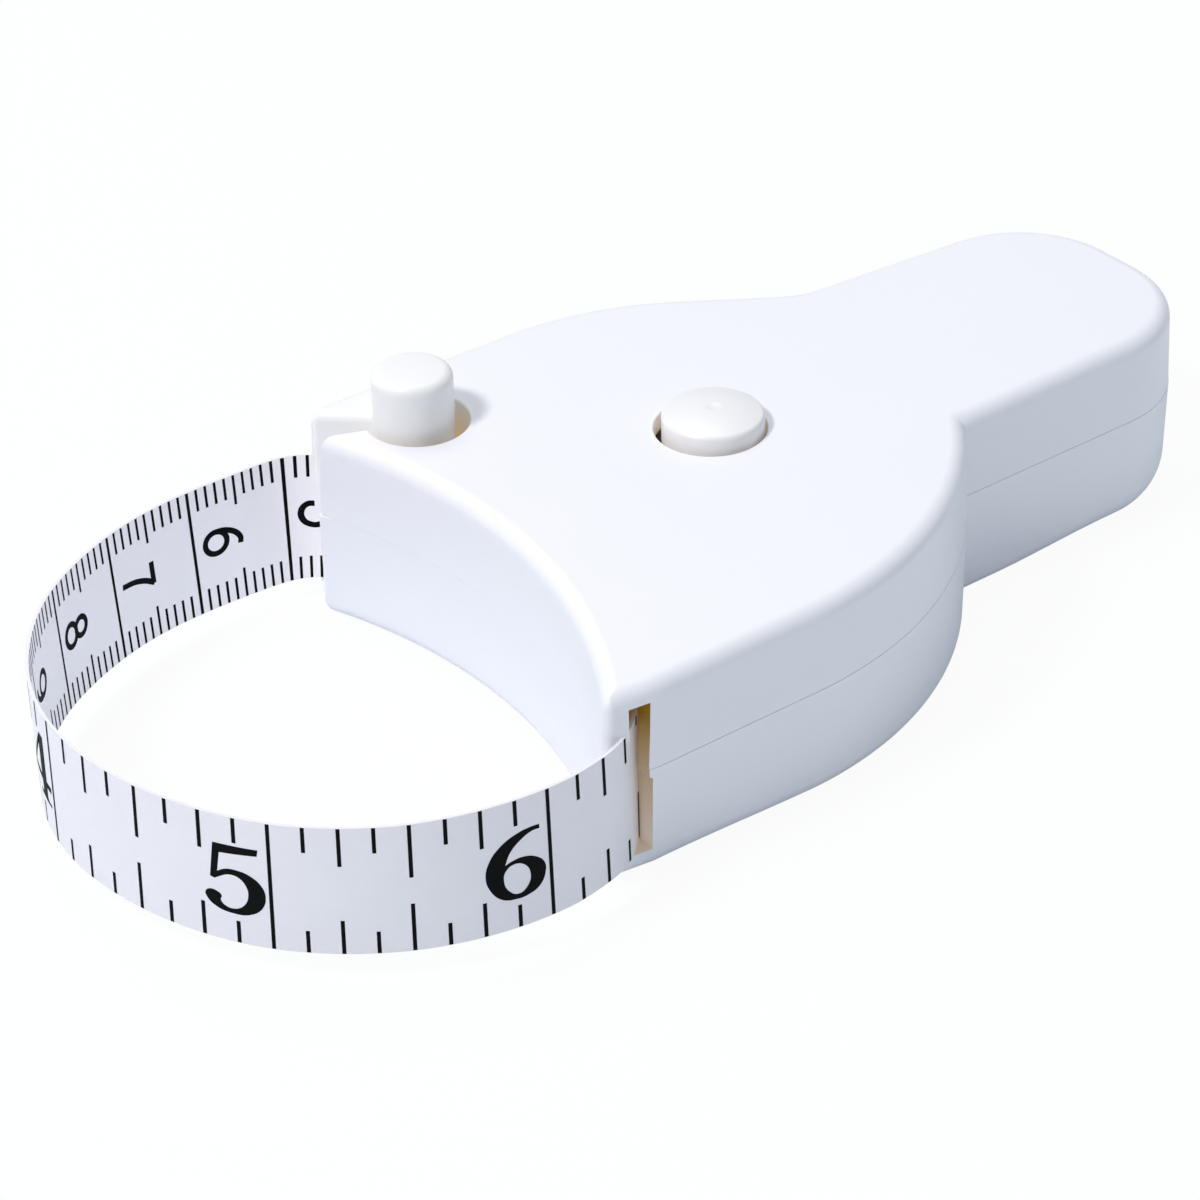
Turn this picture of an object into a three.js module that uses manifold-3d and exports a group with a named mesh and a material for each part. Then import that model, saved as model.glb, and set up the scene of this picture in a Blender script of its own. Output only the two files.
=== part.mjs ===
// Push-button body tape measure: a two-shell casing with two horns and a grip, a sprung reel of
// 13 mm coated-cloth tape, and a peg on the tape's end that drops into a socket in one horn.
// Millimetres. The reel turns about Z, z = 0 is the casing's underside, the horns point to -Y,
// the grip to +Y, the peg horn lies at -X and the exit horn at +X.
import * as THREE from 'three';
import { mergeVertices } from 'three/addons/utils/BufferGeometryUtils.js';
import Module from 'manifold-3d';

const wasm = await Module();
wasm.setup();

// Tape
const tapeWidth = 13;
const tapeThickness = 0.3;
const coilTurns = 11;
const coilPitch = 0.65;

// Clearances and overrun
const seatGap = 0.3;
const runGap = 0.35;
const slideGap = 0.5;
const overrun = 1;

// Reel, from the axis outwards
const postRadius = 3.2;
const spigotRadius = 1.7;
const hubBossRadius = 4.9;
const springStripThickness = 0.3;
const springStripWidth = 5.8;
const springPitch = 0.76;
const springTurns = 7.6;
const springInnerRadius = 5.1;
const springStartAngle = 22;
const springTailShares = [[0.45, 0.12], [0.78, 0.5]];
const drumWall = 1;
const coverLedge = 0.6;
const coverThickness = 0.8;
const flangeThickness = 0.75;
const flangeOverhang = 0.4;
const flangeRimWidth = 0.5;
const flangeRimDepth = 0.9;
const webThickness = 0.9;
const hubBossHeight = 1.4;

// Button and its spring
const buttonRadius = 4.9;
const buttonHoleRadius = 5.4;
const buttonRise = 1.6;
const buttonCrown = 0.6;
const buttonEdgeRadius = 0.45;
const buttonTravel = 1.6;
const buttonPocketRadius = 3.4;
const buttonRoofThickness = 3.2;
const brakeFlangeRadius = 9;
const brakeFlangeThickness = 1.5;
const brakeLipRadius = 7.3;
const dimpleRadius = 0.9;
const dimpleDepth = 0.12;
const crownShares = [0.75, 0.5, 0.28];
const coilSpringRadius = 2.55;
const coilSpringWire = 0.5;
const coilSpringTurns = 5;
const postLength = 9.2;
const spigotLength = 4.2;
const stemRadius = 2;
const stemLength = 1.1;

// Casing shells
const wall = 1.6;
const floorThickness = 1.8;
const roofThickness = 1.8;
const coilRibHeight = 0.7;
const coilRibWidth = 1;
const coilRibRadius = 15;
const coilLift = 0.4;
const frictionRingHeight = 1.1;
const frictionRingInner = 14;
const frictionRingWidth = 3;
const partingHeight = 11.5;
const partingGap = 0.16;
const tongueHeight = 1;
const tongueInset = 1;
const tongueGap = 0.35;
const topEdgeRadius = 1.6;
const bottomEdgeRadius = 1.8;
const gripEndEdgeRadius = 4.2;
const gripEndEdgeLength = 14;
const wallDraft = 0.2;
const shellStep = 0.15;

// Casing outline, as gaps round the reel and the lengths of horns and grip
const exitReelGap = 1.55;
const pegReelGap = 2.6;
const frontReelGap = 3.5;
const exitShoulderCentre = new THREE.Vector2(-9.6, -12.7);
const pegShoulderCentre = new THREE.Vector2(3.75, -4.4);
const frontRadius = 55.9;
const frontCentreX = -2.6;
const exitHornLength = 10.3;
const exitHornLeanLength = 5.8;
const exitHornLean = 0.75;
const exitTipRadius = 0.9;
const gripHalfWidth = 13.85;
const gripCentreX = 0.5;
const gripEndY = 53;
const gripEndHalfFlat = 2.25;
const waistRadius = 14;
const pegHornDepth = 6.5;
const pegHornFlare = 0.45;
const pegTipOffset = 3.7;
const pegTipFrontRadius = 1.2;
const pegTipRearRadius = 1.5;

// Peg and socket
const socketRadius = 5;
const socketWall = 1.2;
const socketReelGap = 0.45;
const socketAngle = -132.7;
const pegRadius = 3.9;
const pegRise = 5.1;
const pegEdgeRadius = 0.75;
const pegShift = 0.36;
const pegPinRadius = 0.7;
const mouthAngle = -121.7;
const mouthWidth = 3.2;
const mouthSpread = 0.3;

// Tape exit and visible loop
const loopReach = 29.5;
const loopExitOverhang = 1.05;
const loopPegOverhang = 0.1;
const loopDrop = 15.8;
const loopSag = 0.5;
const loopLean = 1;
const exitLean = 0.5;
const leanShare = 0.62;
const sagStartShare = 0.5;
const loopShares = [
  [-0.963, 0.747], [-0.997, 0.418], [-1, 0.089], [-0.986, -0.119], [-0.946, -0.285], [-0.888, -0.434],
  [-0.814, -0.576], [-0.604, -0.801], [-0.339, -0.953], [-0.112, -0.997], [0.217, -0.966],
  [0.427, -0.892], [0.617, -0.78], [0.769, -0.634], [0.885, -0.468], [0.963, -0.275],
  [1, -0.061], [1, 0.089], [0.986, 0.297],
];
const loopSteps = 64;
const exitHeading = 113;
const exitRearEdge = 4.75;
const exitLipLength = 2.75;
const exitLipDepth = 1.15;
const exitEdgeWall = 0.7;
const exitTopGap = 2.5;
const exitFloorGap = 0.35;
const exitLowerStep = 0.35;

// Screws
const screwHeadRadius = 2.1;
const screwHeadHeight = 1.3;
const screwShankRadius = 1;
const screwBossRadius = 2.5;
const screwHeadDepth = 0.5;
const screwGrip = 3.2;
const exitScrewInset = 14;
const pegScrewGap = 1.2;
const pegScrewAngle = 206;
const screwHeadEdge = 0.42;
const screwPointLength = 1;
const screwPointRadius = 0.25;
const crossWidth = 0.5;
const crossReach = 1.25;
const crossDepth = 0.6;

// Facets
const chordSlack = 0.02;
const easeShare = 0.35;
const roomShare = 0.85;
const slackShare = 0.985;
const cornerShare = 0.8;
const roundSides = 40;
const smallSides = 24;
const coilStepsPerTurn = 26;

// Heights that follow from the stack floor, rib, tape, flange, brake ring, roof
const coilBottom = floorThickness + coilRibHeight + coilLift;
const coilTop = coilBottom + tapeWidth;
const drumBottom = floorThickness + seatGap;
const drumTop = coilTop + runGap;
const flangeTop = drumTop + flangeThickness;
const roofUnder = flangeTop + runGap + frictionRingHeight;
const casingHeight = roofUnder + roofThickness;
const postTop = floorThickness + postLength;
const springBottom = drumBottom + hubBossHeight + runGap;
const springTop = springBottom + springStripWidth;
const coverBottom = springTop + runGap;
const coverTop = coverBottom + coverThickness;
const pressedTop = casingHeight + buttonRise;
const brakeTop = drumTop - runGap;
const brakeBottom = brakeTop - brakeFlangeThickness;
const pocketTop = pressedTop - buttonRoofThickness;
const spigotTop = Math.min(postTop + spigotLength, pocketTop - buttonTravel - seatGap);

// Radii that follow from the winding
const springOuterRadius = springInnerRadius + springTurns * springPitch + springStripThickness / 2;
const drumInner = springOuterRadius + seatGap + coverLedge;
const drumOuter = drumInner + drumWall;
const coilInner = drumOuter + seatGap + tapeThickness / 2;
const coilOuter = coilInner + coilTurns * coilPitch;
const flangeRadius = coilOuter + tapeThickness / 2 + flangeOverhang;
const runRadius = coilOuter + tapeThickness + seatGap;

const degrees = Math.PI / 180;
const vec = (x, y) => new THREE.Vector2(x, y);
const polar = (radius, angle) => vec(radius * Math.cos(angle * degrees), radius * Math.sin(angle * degrees));
const heading = (angle) => polar(1, angle);

// Places of socket and peg
const socketDistance = flangeRadius + socketReelGap + socketWall + socketRadius;
const socket = polar(socketDistance, socketAngle);
const peg = socket.clone().addScaledVector(heading(mouthAngle), pegShift);

// Casing outline values
const exitShoulderRadius = exitShoulderCentre.length() + flangeRadius + exitReelGap + wall;
const exitWallX = exitShoulderCentre.x + exitShoulderRadius;
const pegShoulderRadius = pegShoulderCentre.length() + flangeRadius + pegReelGap + wall;
const pegWallX = pegShoulderCentre.x - pegShoulderRadius;
const frontApexY = -(flangeRadius + frontReelGap + wall);
const frontCentre = vec(frontCentreX, frontApexY - frontRadius);
const gripRight = gripCentreX + gripHalfWidth;
const gripLeft = gripCentreX - gripHalfWidth;
const gripCornerRadius = gripHalfWidth - gripEndHalfFlat;

// Solids

function toManifold(geometry) {
  const bare = geometry.index ? geometry.toNonIndexed() : geometry.clone();
  for (const name of Object.keys(bare.attributes)) {
    if (name !== 'position') bare.deleteAttribute(name);
  }
  const merged = mergeVertices(bare, seatGap * 1e-4);
  return new wasm.Manifold(new wasm.Mesh({
    numProp: 3,
    vertProperties: new Float32Array(merged.attributes.position.array),
    triVerts: new Uint32Array(merged.index.array),
  }));
}

function toGeometry(solid) {
  const mesh = solid.getMesh();
  const geometry = new THREE.BufferGeometry();
  const places = new Float32Array(mesh.numVert * 3);
  for (let i = 0; i < mesh.numVert; i += 1) {
    for (let k = 0; k < 3; k += 1) places[3 * i + k] = mesh.vertProperties[mesh.numProp * i + k];
  }
  geometry.setAttribute('position', new THREE.BufferAttribute(places, 3));
  geometry.setIndex(Array.from(mesh.triVerts));
  geometry.computeVertexNormals();
  return geometry;
}

const cut = (solid, ...tools) => tools.reduce((rest, tool) => rest.subtract(tool), solid);
const join = (solid, ...others) => others.reduce((whole, other) => whole.add(other), solid);

// A flat outline raised from one height to another
function prism(points, bottom, top) {
  const geometry = new THREE.ExtrudeGeometry(new THREE.Shape(points), {
    depth: top - bottom,
    bevelEnabled: false,
  });
  geometry.translate(0, 0, bottom);
  return toManifold(geometry);
}

// A closed profile of [radius, height] turned about Z and moved to a place
function turned(profile, place = vec(0, 0), sides = roundSides) {
  const points = profile.map(([radius, height]) => vec(radius, height));
  points.push(points[0].clone());
  const geometry = new THREE.LatheGeometry(points, sides);
  geometry.rotateX(Math.PI / 2);
  geometry.translate(place.x, place.y, 0);
  const solid = toManifold(geometry);
  return solid;
}

const disc = (radius, bottom, top, place, sides) =>
  turned([[0, bottom], [radius, bottom], [radius, top], [0, top]], place, sides);
const ring = (inner, outer, bottom, top, place, sides) =>
  turned([[inner, bottom], [outer, bottom], [outer, top], [inner, top]], place, sides);

// Rings of equal length joined into one closed skin with flat ends
function loft(rings) {
  const count = rings[0].length;
  const places = [];
  const faces = [];
  for (const points of rings) for (const p of points) places.push(p.x, p.y, p.z);
  for (let k = 0; k + 1 < rings.length; k += 1) {
    for (let i = 0; i < count; i += 1) {
      const j = (i + 1) % count;
      const [a, b, c, d] = [k * count + i, k * count + j, (k + 1) * count + j, (k + 1) * count + i];
      faces.push(a, b, c, a, c, d);
    }
  }
  const end = (k, flip) => {
    const flat = rings[k].map((p) => vec(p.x, p.y));
    for (const [a, b, c] of THREE.ShapeUtils.triangulateShape(flat, [])) {
      const face = [a, b, c].map((i) => k * count + i);
      faces.push(...(flip ? face.reverse() : face));
    }
  };
  end(0, true);
  end(rings.length - 1, false);
  const geometry = new THREE.BufferGeometry();
  geometry.setAttribute('position', new THREE.Float32BufferAttribute(places, 3));
  geometry.setIndex(faces);
  return toManifold(geometry);
}

// A strip of rectangular section along a plan path: its lower edge at path.z, leaning outwards on top
function strip(path, width, thickness, lean = () => 0) {
  const rings = [];
  path.forEach((p, i) => {
    const before = path[Math.max(i - 1, 0)];
    const after = path[Math.min(i + 1, path.length - 1)];
    const along = vec(after.x - before.x, after.y - before.y).normalize();
    const out = vec(along.y, -along.x);
    const shift = lean(i / (path.length - 1));
    const corner = (side, up) => new THREE.Vector3(
      p.x + out.x * (side * thickness / 2 + up * shift),
      p.y + out.y * (side * thickness / 2 + up * shift),
      p.z + up * width,
    );
    rings.push([corner(1, 0), corner(1, 1), corner(-1, 1), corner(-1, 0)]);
  });
  const places = [];
  const faces = [];
  for (const corners of rings) for (const p of corners) places.push(p.x, p.y, p.z);
  for (let k = 0; k + 1 < rings.length; k += 1) {
    for (let i = 0; i < 4; i += 1) {
      const j = (i + 1) % 4;
      const [a, b, c, d] = [4 * k + i, 4 * k + j, 4 * k + 4 + j, 4 * k + 4 + i];
      faces.push(a, c, b, a, d, c);
    }
  }
  const last = 4 * (rings.length - 1);
  faces.push(0, 1, 2, 0, 2, 3, last, last + 2, last + 1, last, last + 3, last + 2);
  const geometry = new THREE.BufferGeometry();
  geometry.setAttribute('position', new THREE.Float32BufferAttribute(places, 3));
  geometry.setIndex(faces);
  return toManifold(geometry);
}

// Casing outline, anticlockwise, each point with the edge radius that its corner leaves room for

function arc(centre, radius, from, to) {
  const widest = 2 * Math.acos(1 - chordSlack / radius) / degrees;
  const steps = Math.max(2, Math.ceil(Math.abs(to - from) / widest));
  return Array.from({ length: steps + 1 }, (_, i) =>
    centre.clone().add(polar(radius, from + (to - from) * i / steps)));
}

const angleOf = (v) => Math.atan2(v.y, v.x) / degrees;

// Shortens a run of points by a length from its end
function trimmed(points, length) {
  const rest = points.slice();
  let left = length;
  while (rest.length > 2 && rest.at(-1).distanceTo(rest.at(-2)) <= left) {
    left -= rest.at(-1).distanceTo(rest.at(-2));
    rest.pop();
  }
  const end = rest.pop();
  const before = rest.at(-1);
  rest.push(end.clone().lerp(before, left / end.distanceTo(before)));
  return rest;
}

// Joins two runs that meet at a convex corner by an arc of the given radius
function rounded(first, second, radius) {
  const inward = first.at(-1).clone().sub(first.at(-2)).normalize();
  const outward = second[1].clone().sub(second[0]).normalize();
  const turn = Math.acos(THREE.MathUtils.clamp(inward.dot(outward), -1, 1));
  const length = radius * Math.tan(turn / 2);
  const a = trimmed(first, length);
  const b = trimmed(second.slice().reverse(), length).reverse();
  const centre = a.at(-1).clone().add(vec(-inward.y, inward.x).multiplyScalar(radius));
  const start = angleOf(a.at(-1).clone().sub(centre));
  const corner = arc(centre, radius, start, start + turn / degrees).slice(1, -1);
  corner.forEach((p) => { p.cornerRadius = radius; });
  return [...a, ...corner, ...b];
}

const frontY = (x) => frontCentre.y + Math.sqrt(frontRadius ** 2 - (x - frontCentre.x) ** 2);

function casingOutline() {
  const exitTip = vec(exitWallX - exitHornLean, 0);
  exitTip.y = frontY(exitTip.x);
  const pegTip = vec(socket.x - pegTipOffset, 0);
  pegTip.y = frontY(pegTip.x);
  const rearTip = vec(pegWallX - pegHornFlare, socket.y - pegHornDepth);
  const front = arc(frontCentre, frontRadius,
    angleOf(pegTip.clone().sub(frontCentre)), angleOf(exitTip.clone().sub(frontCentre)));

  const creaseRise = Math.sqrt(exitShoulderRadius ** 2 - (gripRight - exitShoulderCentre.x) ** 2);
  const crease = vec(gripRight, exitShoulderCentre.y + creaseRise);
  const exitSide = [
    exitTip,
    vec(exitWallX, exitTip.y + exitHornLeanLength),
    ...arc(exitShoulderCentre, exitShoulderRadius, 0, angleOf(crease.clone().sub(exitShoulderCentre))),
  ];

  const cornerY = gripEndY - gripCornerRadius;
  const grip = [
    ...arc(vec(gripRight - gripCornerRadius, cornerY), gripCornerRadius, 0, 90),
    ...arc(vec(gripLeft + gripCornerRadius, cornerY), gripCornerRadius, 90, 180),
  ];

  const reach = pegShoulderRadius + waistRadius;
  const waistX = gripLeft - waistRadius;
  const waistRise = Math.sqrt(reach ** 2 - (waistX - pegShoulderCentre.x) ** 2);
  const waistCentre = vec(waistX, pegShoulderCentre.y + waistRise);
  const toShoulder = angleOf(pegShoulderCentre.clone().sub(waistCentre));
  const pegSide = [
    ...arc(waistCentre, waistRadius, 0, toShoulder),
    ...arc(pegShoulderCentre, pegShoulderRadius, toShoulder + 180, 180).slice(1),
    rearTip,
  ];

  const tipFace = [rearTip.clone(), pegTip.clone()];
  let outline = rounded(front, exitSide, exitTipRadius);
  outline = [...outline, ...grip, ...pegSide];
  outline = rounded(outline, tipFace, pegTipRearRadius);
  const closing = rounded([outline.at(-2), outline.at(-1)], outline.slice(0, 3), pegTipFrontRadius);
  const startLength = closing.length - 3;
  outline = [...outline.slice(1, -1), ...closing.slice(1, startLength + 1)];
  return spaced(outline, chordSlack * 2);
}

// Drops points that nearly coincide
function spaced(points, least) {
  return points.filter((p, i) => p.distanceTo(points[(i + 1) % points.length]) > least);
}

// Gives every point its normals and the largest edge radius that its corner can take
function surveyed(points) {
  const count = points.length;
  const edge = (i) => points[(i + 1) % count].clone().sub(points[i]).normalize();
  const along = [0];
  for (let i = 1; i < count; i += 1) along.push(along[i - 1] + points[i].distanceTo(points[i - 1]));
  const total = along[count - 1] + points[0].distanceTo(points[count - 1]);
  return points.map((p, i) => {
    const before = edge((i + count - 1) % count);
    const after = edge(i);
    const sum = vec(-before.y - after.y, before.x + after.x);
    const miter = sum.multiplyScalar(1 / (1 + before.dot(after)));
    let room = Infinity;
    points.forEach((q, j) => {
      if (!q.cornerRadius) return;
      const apart = Math.abs(along[i] - along[j]);
      const ease = easeShare * Math.min(apart, total - apart);
      room = Math.min(room, roomShare * q.cornerRadius - wallDraft - shellStep + ease);
    });
    return { p, miter, room };
  });
}

const survey = surveyed(casingOutline());

const inset = ({ p, miter }, depth) => p.clone().addScaledVector(miter, depth);

// The outline moved inwards by a depth, without the points that fall outside that depth
function insetOutline(depth) {
  const base = survey.map(({ p }) => p);
  const span = (q) => base.reduce((least, a, i) => {
    const b = base[(i + 1) % base.length];
    const ab = b.clone().sub(a);
    const share = THREE.MathUtils.clamp(q.clone().sub(a).dot(ab) / ab.lengthSq(), 0, 1);
    return Math.min(least, q.distanceTo(a.clone().addScaledVector(ab, share)));
  }, Infinity);
  const roomy = survey.filter(({ p }) => !(p.cornerRadius < depth / cornerShare));
  const kept = roomy.map((s) => inset(s, depth)).filter((q) => span(q) > depth * slackShare);
  return spaced(kept, chordSlack * 5);
}

// A block of the casing between two heights whose outer edge is rounded below, above or not at all
function casingBlock(bottom, top, edgeAt, below, step) {
  const steps = 5;
  const rings = [];
  const ringAt = (height, depth) => rings.push(survey.map((s) => {
    const q = inset(s, depth(s));
    return new THREE.Vector3(q.x, q.y, height(s));
  }));
  const edgeRing = (share) => {
    const angle = share * Math.PI / 2;
    const fall = (s) => edgeAt(s) * (1 - Math.cos(angle));
    const rise = (s) => edgeAt(s) * (1 - Math.sin(angle));
    ringAt((s) => (below ? bottom + rise(s) : top - rise(s)), (s) => step + wallDraft + fall(s));
  };
  if (below) {
    for (let i = steps; i >= 0; i -= 1) edgeRing(i / steps);
    ringAt(() => top, () => step);
  } else {
    ringAt(() => bottom, () => step);
    for (let i = 0; i <= steps; i += 1) edgeRing(i / steps);
  }
  return loft(rings);
}

const topEdge = ({ room }) => Math.min(topEdgeRadius, room);
const bottomEdge = ({ p, room }) => {
  const share = THREE.MathUtils.smoothstep(p.y, gripEndY - gripEndEdgeLength, gripEndY);
  return Math.min(THREE.MathUtils.lerp(bottomEdgeRadius, gripEndEdgeRadius, share), room);
};

// Tape path: from the peg round the loop to the exit, then inside to the coil

const loopHalfWidth = (exitWallX + loopExitOverhang - pegWallX + loopPegOverhang) / 2;
const loopCentre = vec(exitWallX + loopExitOverhang - loopHalfWidth, frontApexY - loopDrop);
const exitTipY = frontY(exitWallX - exitHornLean);
const rearEdge = vec(exitWallX, exitTipY + exitRearEdge);
const lipEdge = vec(exitWallX - exitLipDepth, exitTipY + exitLipLength);
const halfChannel = tapeThickness / 2 + seatGap;
const lipPoint = lipEdge.clone().addScaledVector(heading(exitHeading - 90), halfChannel);
const tapeStep = 4;

// Path of the visible loop, its lower edge a little lower at the peg than at the exit
function loopPath() {
  const pegExit = peg.clone().addScaledVector(heading(mouthAngle), pegRadius + seatGap);
  const pegLead = pegExit.clone().addScaledVector(heading(mouthAngle), pegRadius - overrun);
  const table = loopShares.map(([x, y]) =>
    loopCentre.clone().add(vec(x * loopHalfWidth, y * (y > 0 ? loopDrop : loopReach))));
  const plan = [pegExit, pegLead, ...table, lipPoint];
  const curve = new THREE.CatmullRomCurve3(plan.map((q) => new THREE.Vector3(q.x, q.y, 0)));
  return curve.getSpacedPoints(loopSteps).map((q, i) => {
    q.z = coilBottom - loopSag * (1 - THREE.MathUtils.smoothstep(i / loopSteps, sagStartShare, 1));
    return q;
  });
}

// Path inside the casing, from the lip to the tangent of the coil
function runPath() {
  const start = lipPoint.clone().addScaledVector(heading(exitHeading), seatGap);
  const touch = angleOf(start) + Math.acos(runRadius / start.length()) / degrees;
  const end = polar(runRadius, touch);
  const curve = new THREE.CubicBezierCurve(
    start,
    start.clone().addScaledVector(heading(exitHeading), tapeStep / 2),
    end.clone().addScaledVector(heading(touch + 90), -start.distanceTo(end) + tapeStep),
    end,
  );
  return curve.getPoints(loopSteps / tapeStep).map((q) => new THREE.Vector3(q.x, q.y, coilBottom));
}

// Spiral of the wound tape, from the drum outwards
function spiralPath(inner, pitch, turns, stepsPerTurn, height, startAngle = 0) {
  const steps = Math.round(turns * stepsPerTurn);
  return Array.from({ length: steps + 1 }, (_, i) => {
    const turn = turns * i / steps;
    const q = polar(inner + pitch * turn, startAngle + 360 * turn);
    return new THREE.Vector3(q.x, q.y, height);
  });
}

function offsetPath(path, side) {
  return path.map((p, i) => {
    const before = path[Math.max(i - 1, 0)];
    const after = path[Math.min(i + 1, path.length - 1)];
    const along = vec(after.x - before.x, after.y - before.y).normalize();
    return vec(p.x + along.y * side, p.y - along.x * side);
  });
}

// Openings that both shells share

const exitBottom = coilBottom - exitFloorGap;
const exitTop = coilTop + exitTopGap;

// The channel that the tape runs through at the exit horn; its rear edge stands further back below
function exitChannel(rearStep, bottom, top) {
  const run = runPath().filter((q) => q.y < rearEdge.y + tapeStep * 2);
  const inner = offsetPath([...loopPath().slice(-3, -1), ...run], -halfChannel);
  const outer = offsetPath(run, halfChannel);
  const behind = outer.filter((q) => q.y > rearEdge.y + rearStep);
  const far = exitWallX + overrun * 2;
  const points = [
    ...inner,
    ...behind.slice().reverse(),
    vec(exitWallX - exitEdgeWall, rearEdge.y + rearStep),
    vec(far, rearEdge.y + rearStep),
    vec(far, inner[0].y),
  ];
  return prism(points, bottom, top);
}

// The slot between the two cheeks of the peg horn, wider at its mouth
function pegMouth() {
  const way = heading(mouthAngle);
  const side = vec(-way.y, way.x);
  const length = pegHornDepth + socketRadius + overrun * 4;
  const end = socket.clone().addScaledVector(way, length);
  const half = (mouthWidth - mouthSpread * socketRadius) / 2;
  const far = half + mouthSpread * length / 2;
  const points = [
    socket.clone().addScaledVector(side, -half),
    socket.clone().addScaledVector(side, half),
    end.clone().addScaledVector(side, far),
    end.clone().addScaledVector(side, -far),
  ];
  return prism(points.reverse(), coilBottom - runGap - loopSag, casingHeight + overrun);
}

// The solid part of the peg horn: a well round the socket and the cheeks in front of it
function hornBlock(bottom, top) {
  const reach = socketRadius + socketWall;
  const corner = vec(pegWallX - overrun, frontY(pegWallX) - overrun);
  const points = [
    vec(corner.x, socket.y),
    vec(corner.x, corner.y),
    vec(socket.x + reach / 2, corner.y),
    vec(socket.x + reach, socket.y),
  ];
  return join(disc(reach, bottom, top, socket), prism(points, bottom, top));
}

// Screw places: behind the exit horn, beside the peg shoulder and near the grip's end
const screwInset = wall + screwBossRadius + seatGap;
const screwPlaces = [
  vec(exitWallX - exitScrewInset, frontY(exitWallX - exitScrewInset) + screwInset + seatGap),
  polar(flangeRadius + pegScrewGap + screwBossRadius, pegScrewAngle),
  vec(gripCentreX, gripEndY - gripCornerRadius),
];
const screwSeat = screwHeadDepth + screwHeadHeight + seatGap;
const screwEnd = partingHeight + screwGrip;

function lowerShell() {
  let body = casingBlock(0, partingHeight, bottomEdge, true, 0);
  let hollow = prism(insetOutline(wall), floorThickness, partingHeight + overrun);
  hollow = cut(hollow, hornBlock(floorThickness - overrun, partingHeight + overrun * 2));
  body = body.subtract(hollow);

  const tongueOuter = prism(insetOutline(tongueInset), partingHeight - overrun, partingHeight + tongueHeight);
  const tongueInner = prism(insetOutline(wall), 0, casingHeight);
  const horn = hornBlock(0, casingHeight);
  body = body.add(cut(tongueOuter, tongueInner, horn));

  const bossTop = partingHeight - seatGap;
  for (const place of screwPlaces) {
    const boss = disc(screwBossRadius, floorThickness / 2, bossTop, place, smallSides);
    const head = disc(screwHeadRadius + seatGap, -overrun, screwSeat, place, smallSides);
    const bore = disc(screwShankRadius + seatGap, 0, casingHeight, place, smallSides);
    const collarTop = screwSeat + floorThickness / 2;
    const collar = disc(screwBossRadius + seatGap, floorThickness / 2, collarTop, place, smallSides);
    body = cut(join(body, boss, collar), head, bore);
  }

  const ribTop = floorThickness + coilRibHeight;
  const rib = ring(coilRibRadius, coilRibRadius + coilRibWidth, floorThickness / 2, ribTop);
  const stemBottom = floorThickness - stemLength;
  const stemHole = disc(stemRadius + seatGap, stemBottom, floorThickness + overrun, vec(0, 0), smallSides);
  body = cut(join(body, rib), stemHole);

  body = cut(body,
    disc(socketRadius, floorThickness, casingHeight, socket),
    pegMouth(),
    exitChannel(exitLowerStep, exitBottom, casingHeight));
  return body;
}

function upperShell() {
  const bottom = partingHeight + partingGap;
  let body = casingBlock(bottom, casingHeight, topEdge, false, shellStep);
  let hollow = prism(insetOutline(wall), bottom - overrun, roofUnder);
  const horn = hornBlock(bottom - overrun * 2, roofUnder + overrun);
  hollow = cut(hollow, horn);
  const rebateTop = partingHeight + tongueHeight + tongueGap;
  const rebate = cut(prism(insetOutline(tongueInset - tongueGap), bottom - overrun, rebateTop), horn);
  body = cut(body, hollow, rebate);

  const bossBottom = partingHeight + seatGap / 2;
  for (const place of screwPlaces) {
    const boss = disc(screwBossRadius, bossBottom, roofUnder + roofThickness / 2, place, smallSides);
    const pilot = disc(screwShankRadius + seatGap, 0, screwEnd + runGap, place, smallSides);
    body = cut(join(body, boss), pilot);
  }

  body = cut(body,
    disc(buttonHoleRadius, roofUnder - overrun, casingHeight + overrun),
    disc(socketRadius, 0, casingHeight + overrun, socket),
    pegMouth(),
    exitChannel(0, 0, exitTop));
  return body;
}

// The post that the reel turns on, with a slit that holds the power spring's inner end
function arbor() {
  const body = turned([
    [0, floorThickness - stemLength],
    [stemRadius, floorThickness - stemLength],
    [stemRadius, floorThickness],
    [postRadius, floorThickness],
    [postRadius, postTop],
    [spigotRadius, postTop],
    [spigotRadius, spigotTop],
    [0, spigotTop],
  ], vec(0, 0), smallSides);
  const slitHalf = springStripThickness / 2 + seatGap;
  const slit = prism([
    vec(-postRadius / 2 - seatGap, -slitHalf),
    vec(postRadius + overrun, -slitHalf),
    vec(postRadius + overrun, slitHalf),
    vec(-postRadius / 2 - seatGap, slitHalf),
  ], springBottom - seatGap, springTop + seatGap);
  return cut(body, slit);
}

// Reel, its spring and its brake

function reelDrum() {
  const ledge = coverBottom;
  return turned([
    [postRadius + seatGap, drumBottom],
    [drumOuter, drumBottom],
    [drumOuter, drumTop],
    [drumInner, drumTop],
    [drumInner, ledge],
    [drumInner - coverLedge, ledge],
    [drumInner - coverLedge, drumBottom + webThickness],
    [hubBossRadius, drumBottom + webThickness],
    [hubBossRadius, drumBottom + hubBossHeight],
    [postRadius + seatGap, drumBottom + hubBossHeight],
  ]);
}

function reelFlange() {
  const rimOuter = drumInner - seatGap;
  return turned([
    [brakeLipRadius, drumTop],
    [rimOuter - flangeRimWidth, drumTop],
    [rimOuter - flangeRimWidth, drumTop - flangeRimDepth],
    [rimOuter, drumTop - flangeRimDepth],
    [rimOuter, drumTop],
    [flangeRadius, drumTop],
    [flangeRadius, flangeTop],
    [brakeLipRadius, flangeTop],
  ]);
}

function springCover() {
  return ring(postRadius + slideGap * 2, drumInner - seatGap, coverBottom, coverTop);
}

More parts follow.
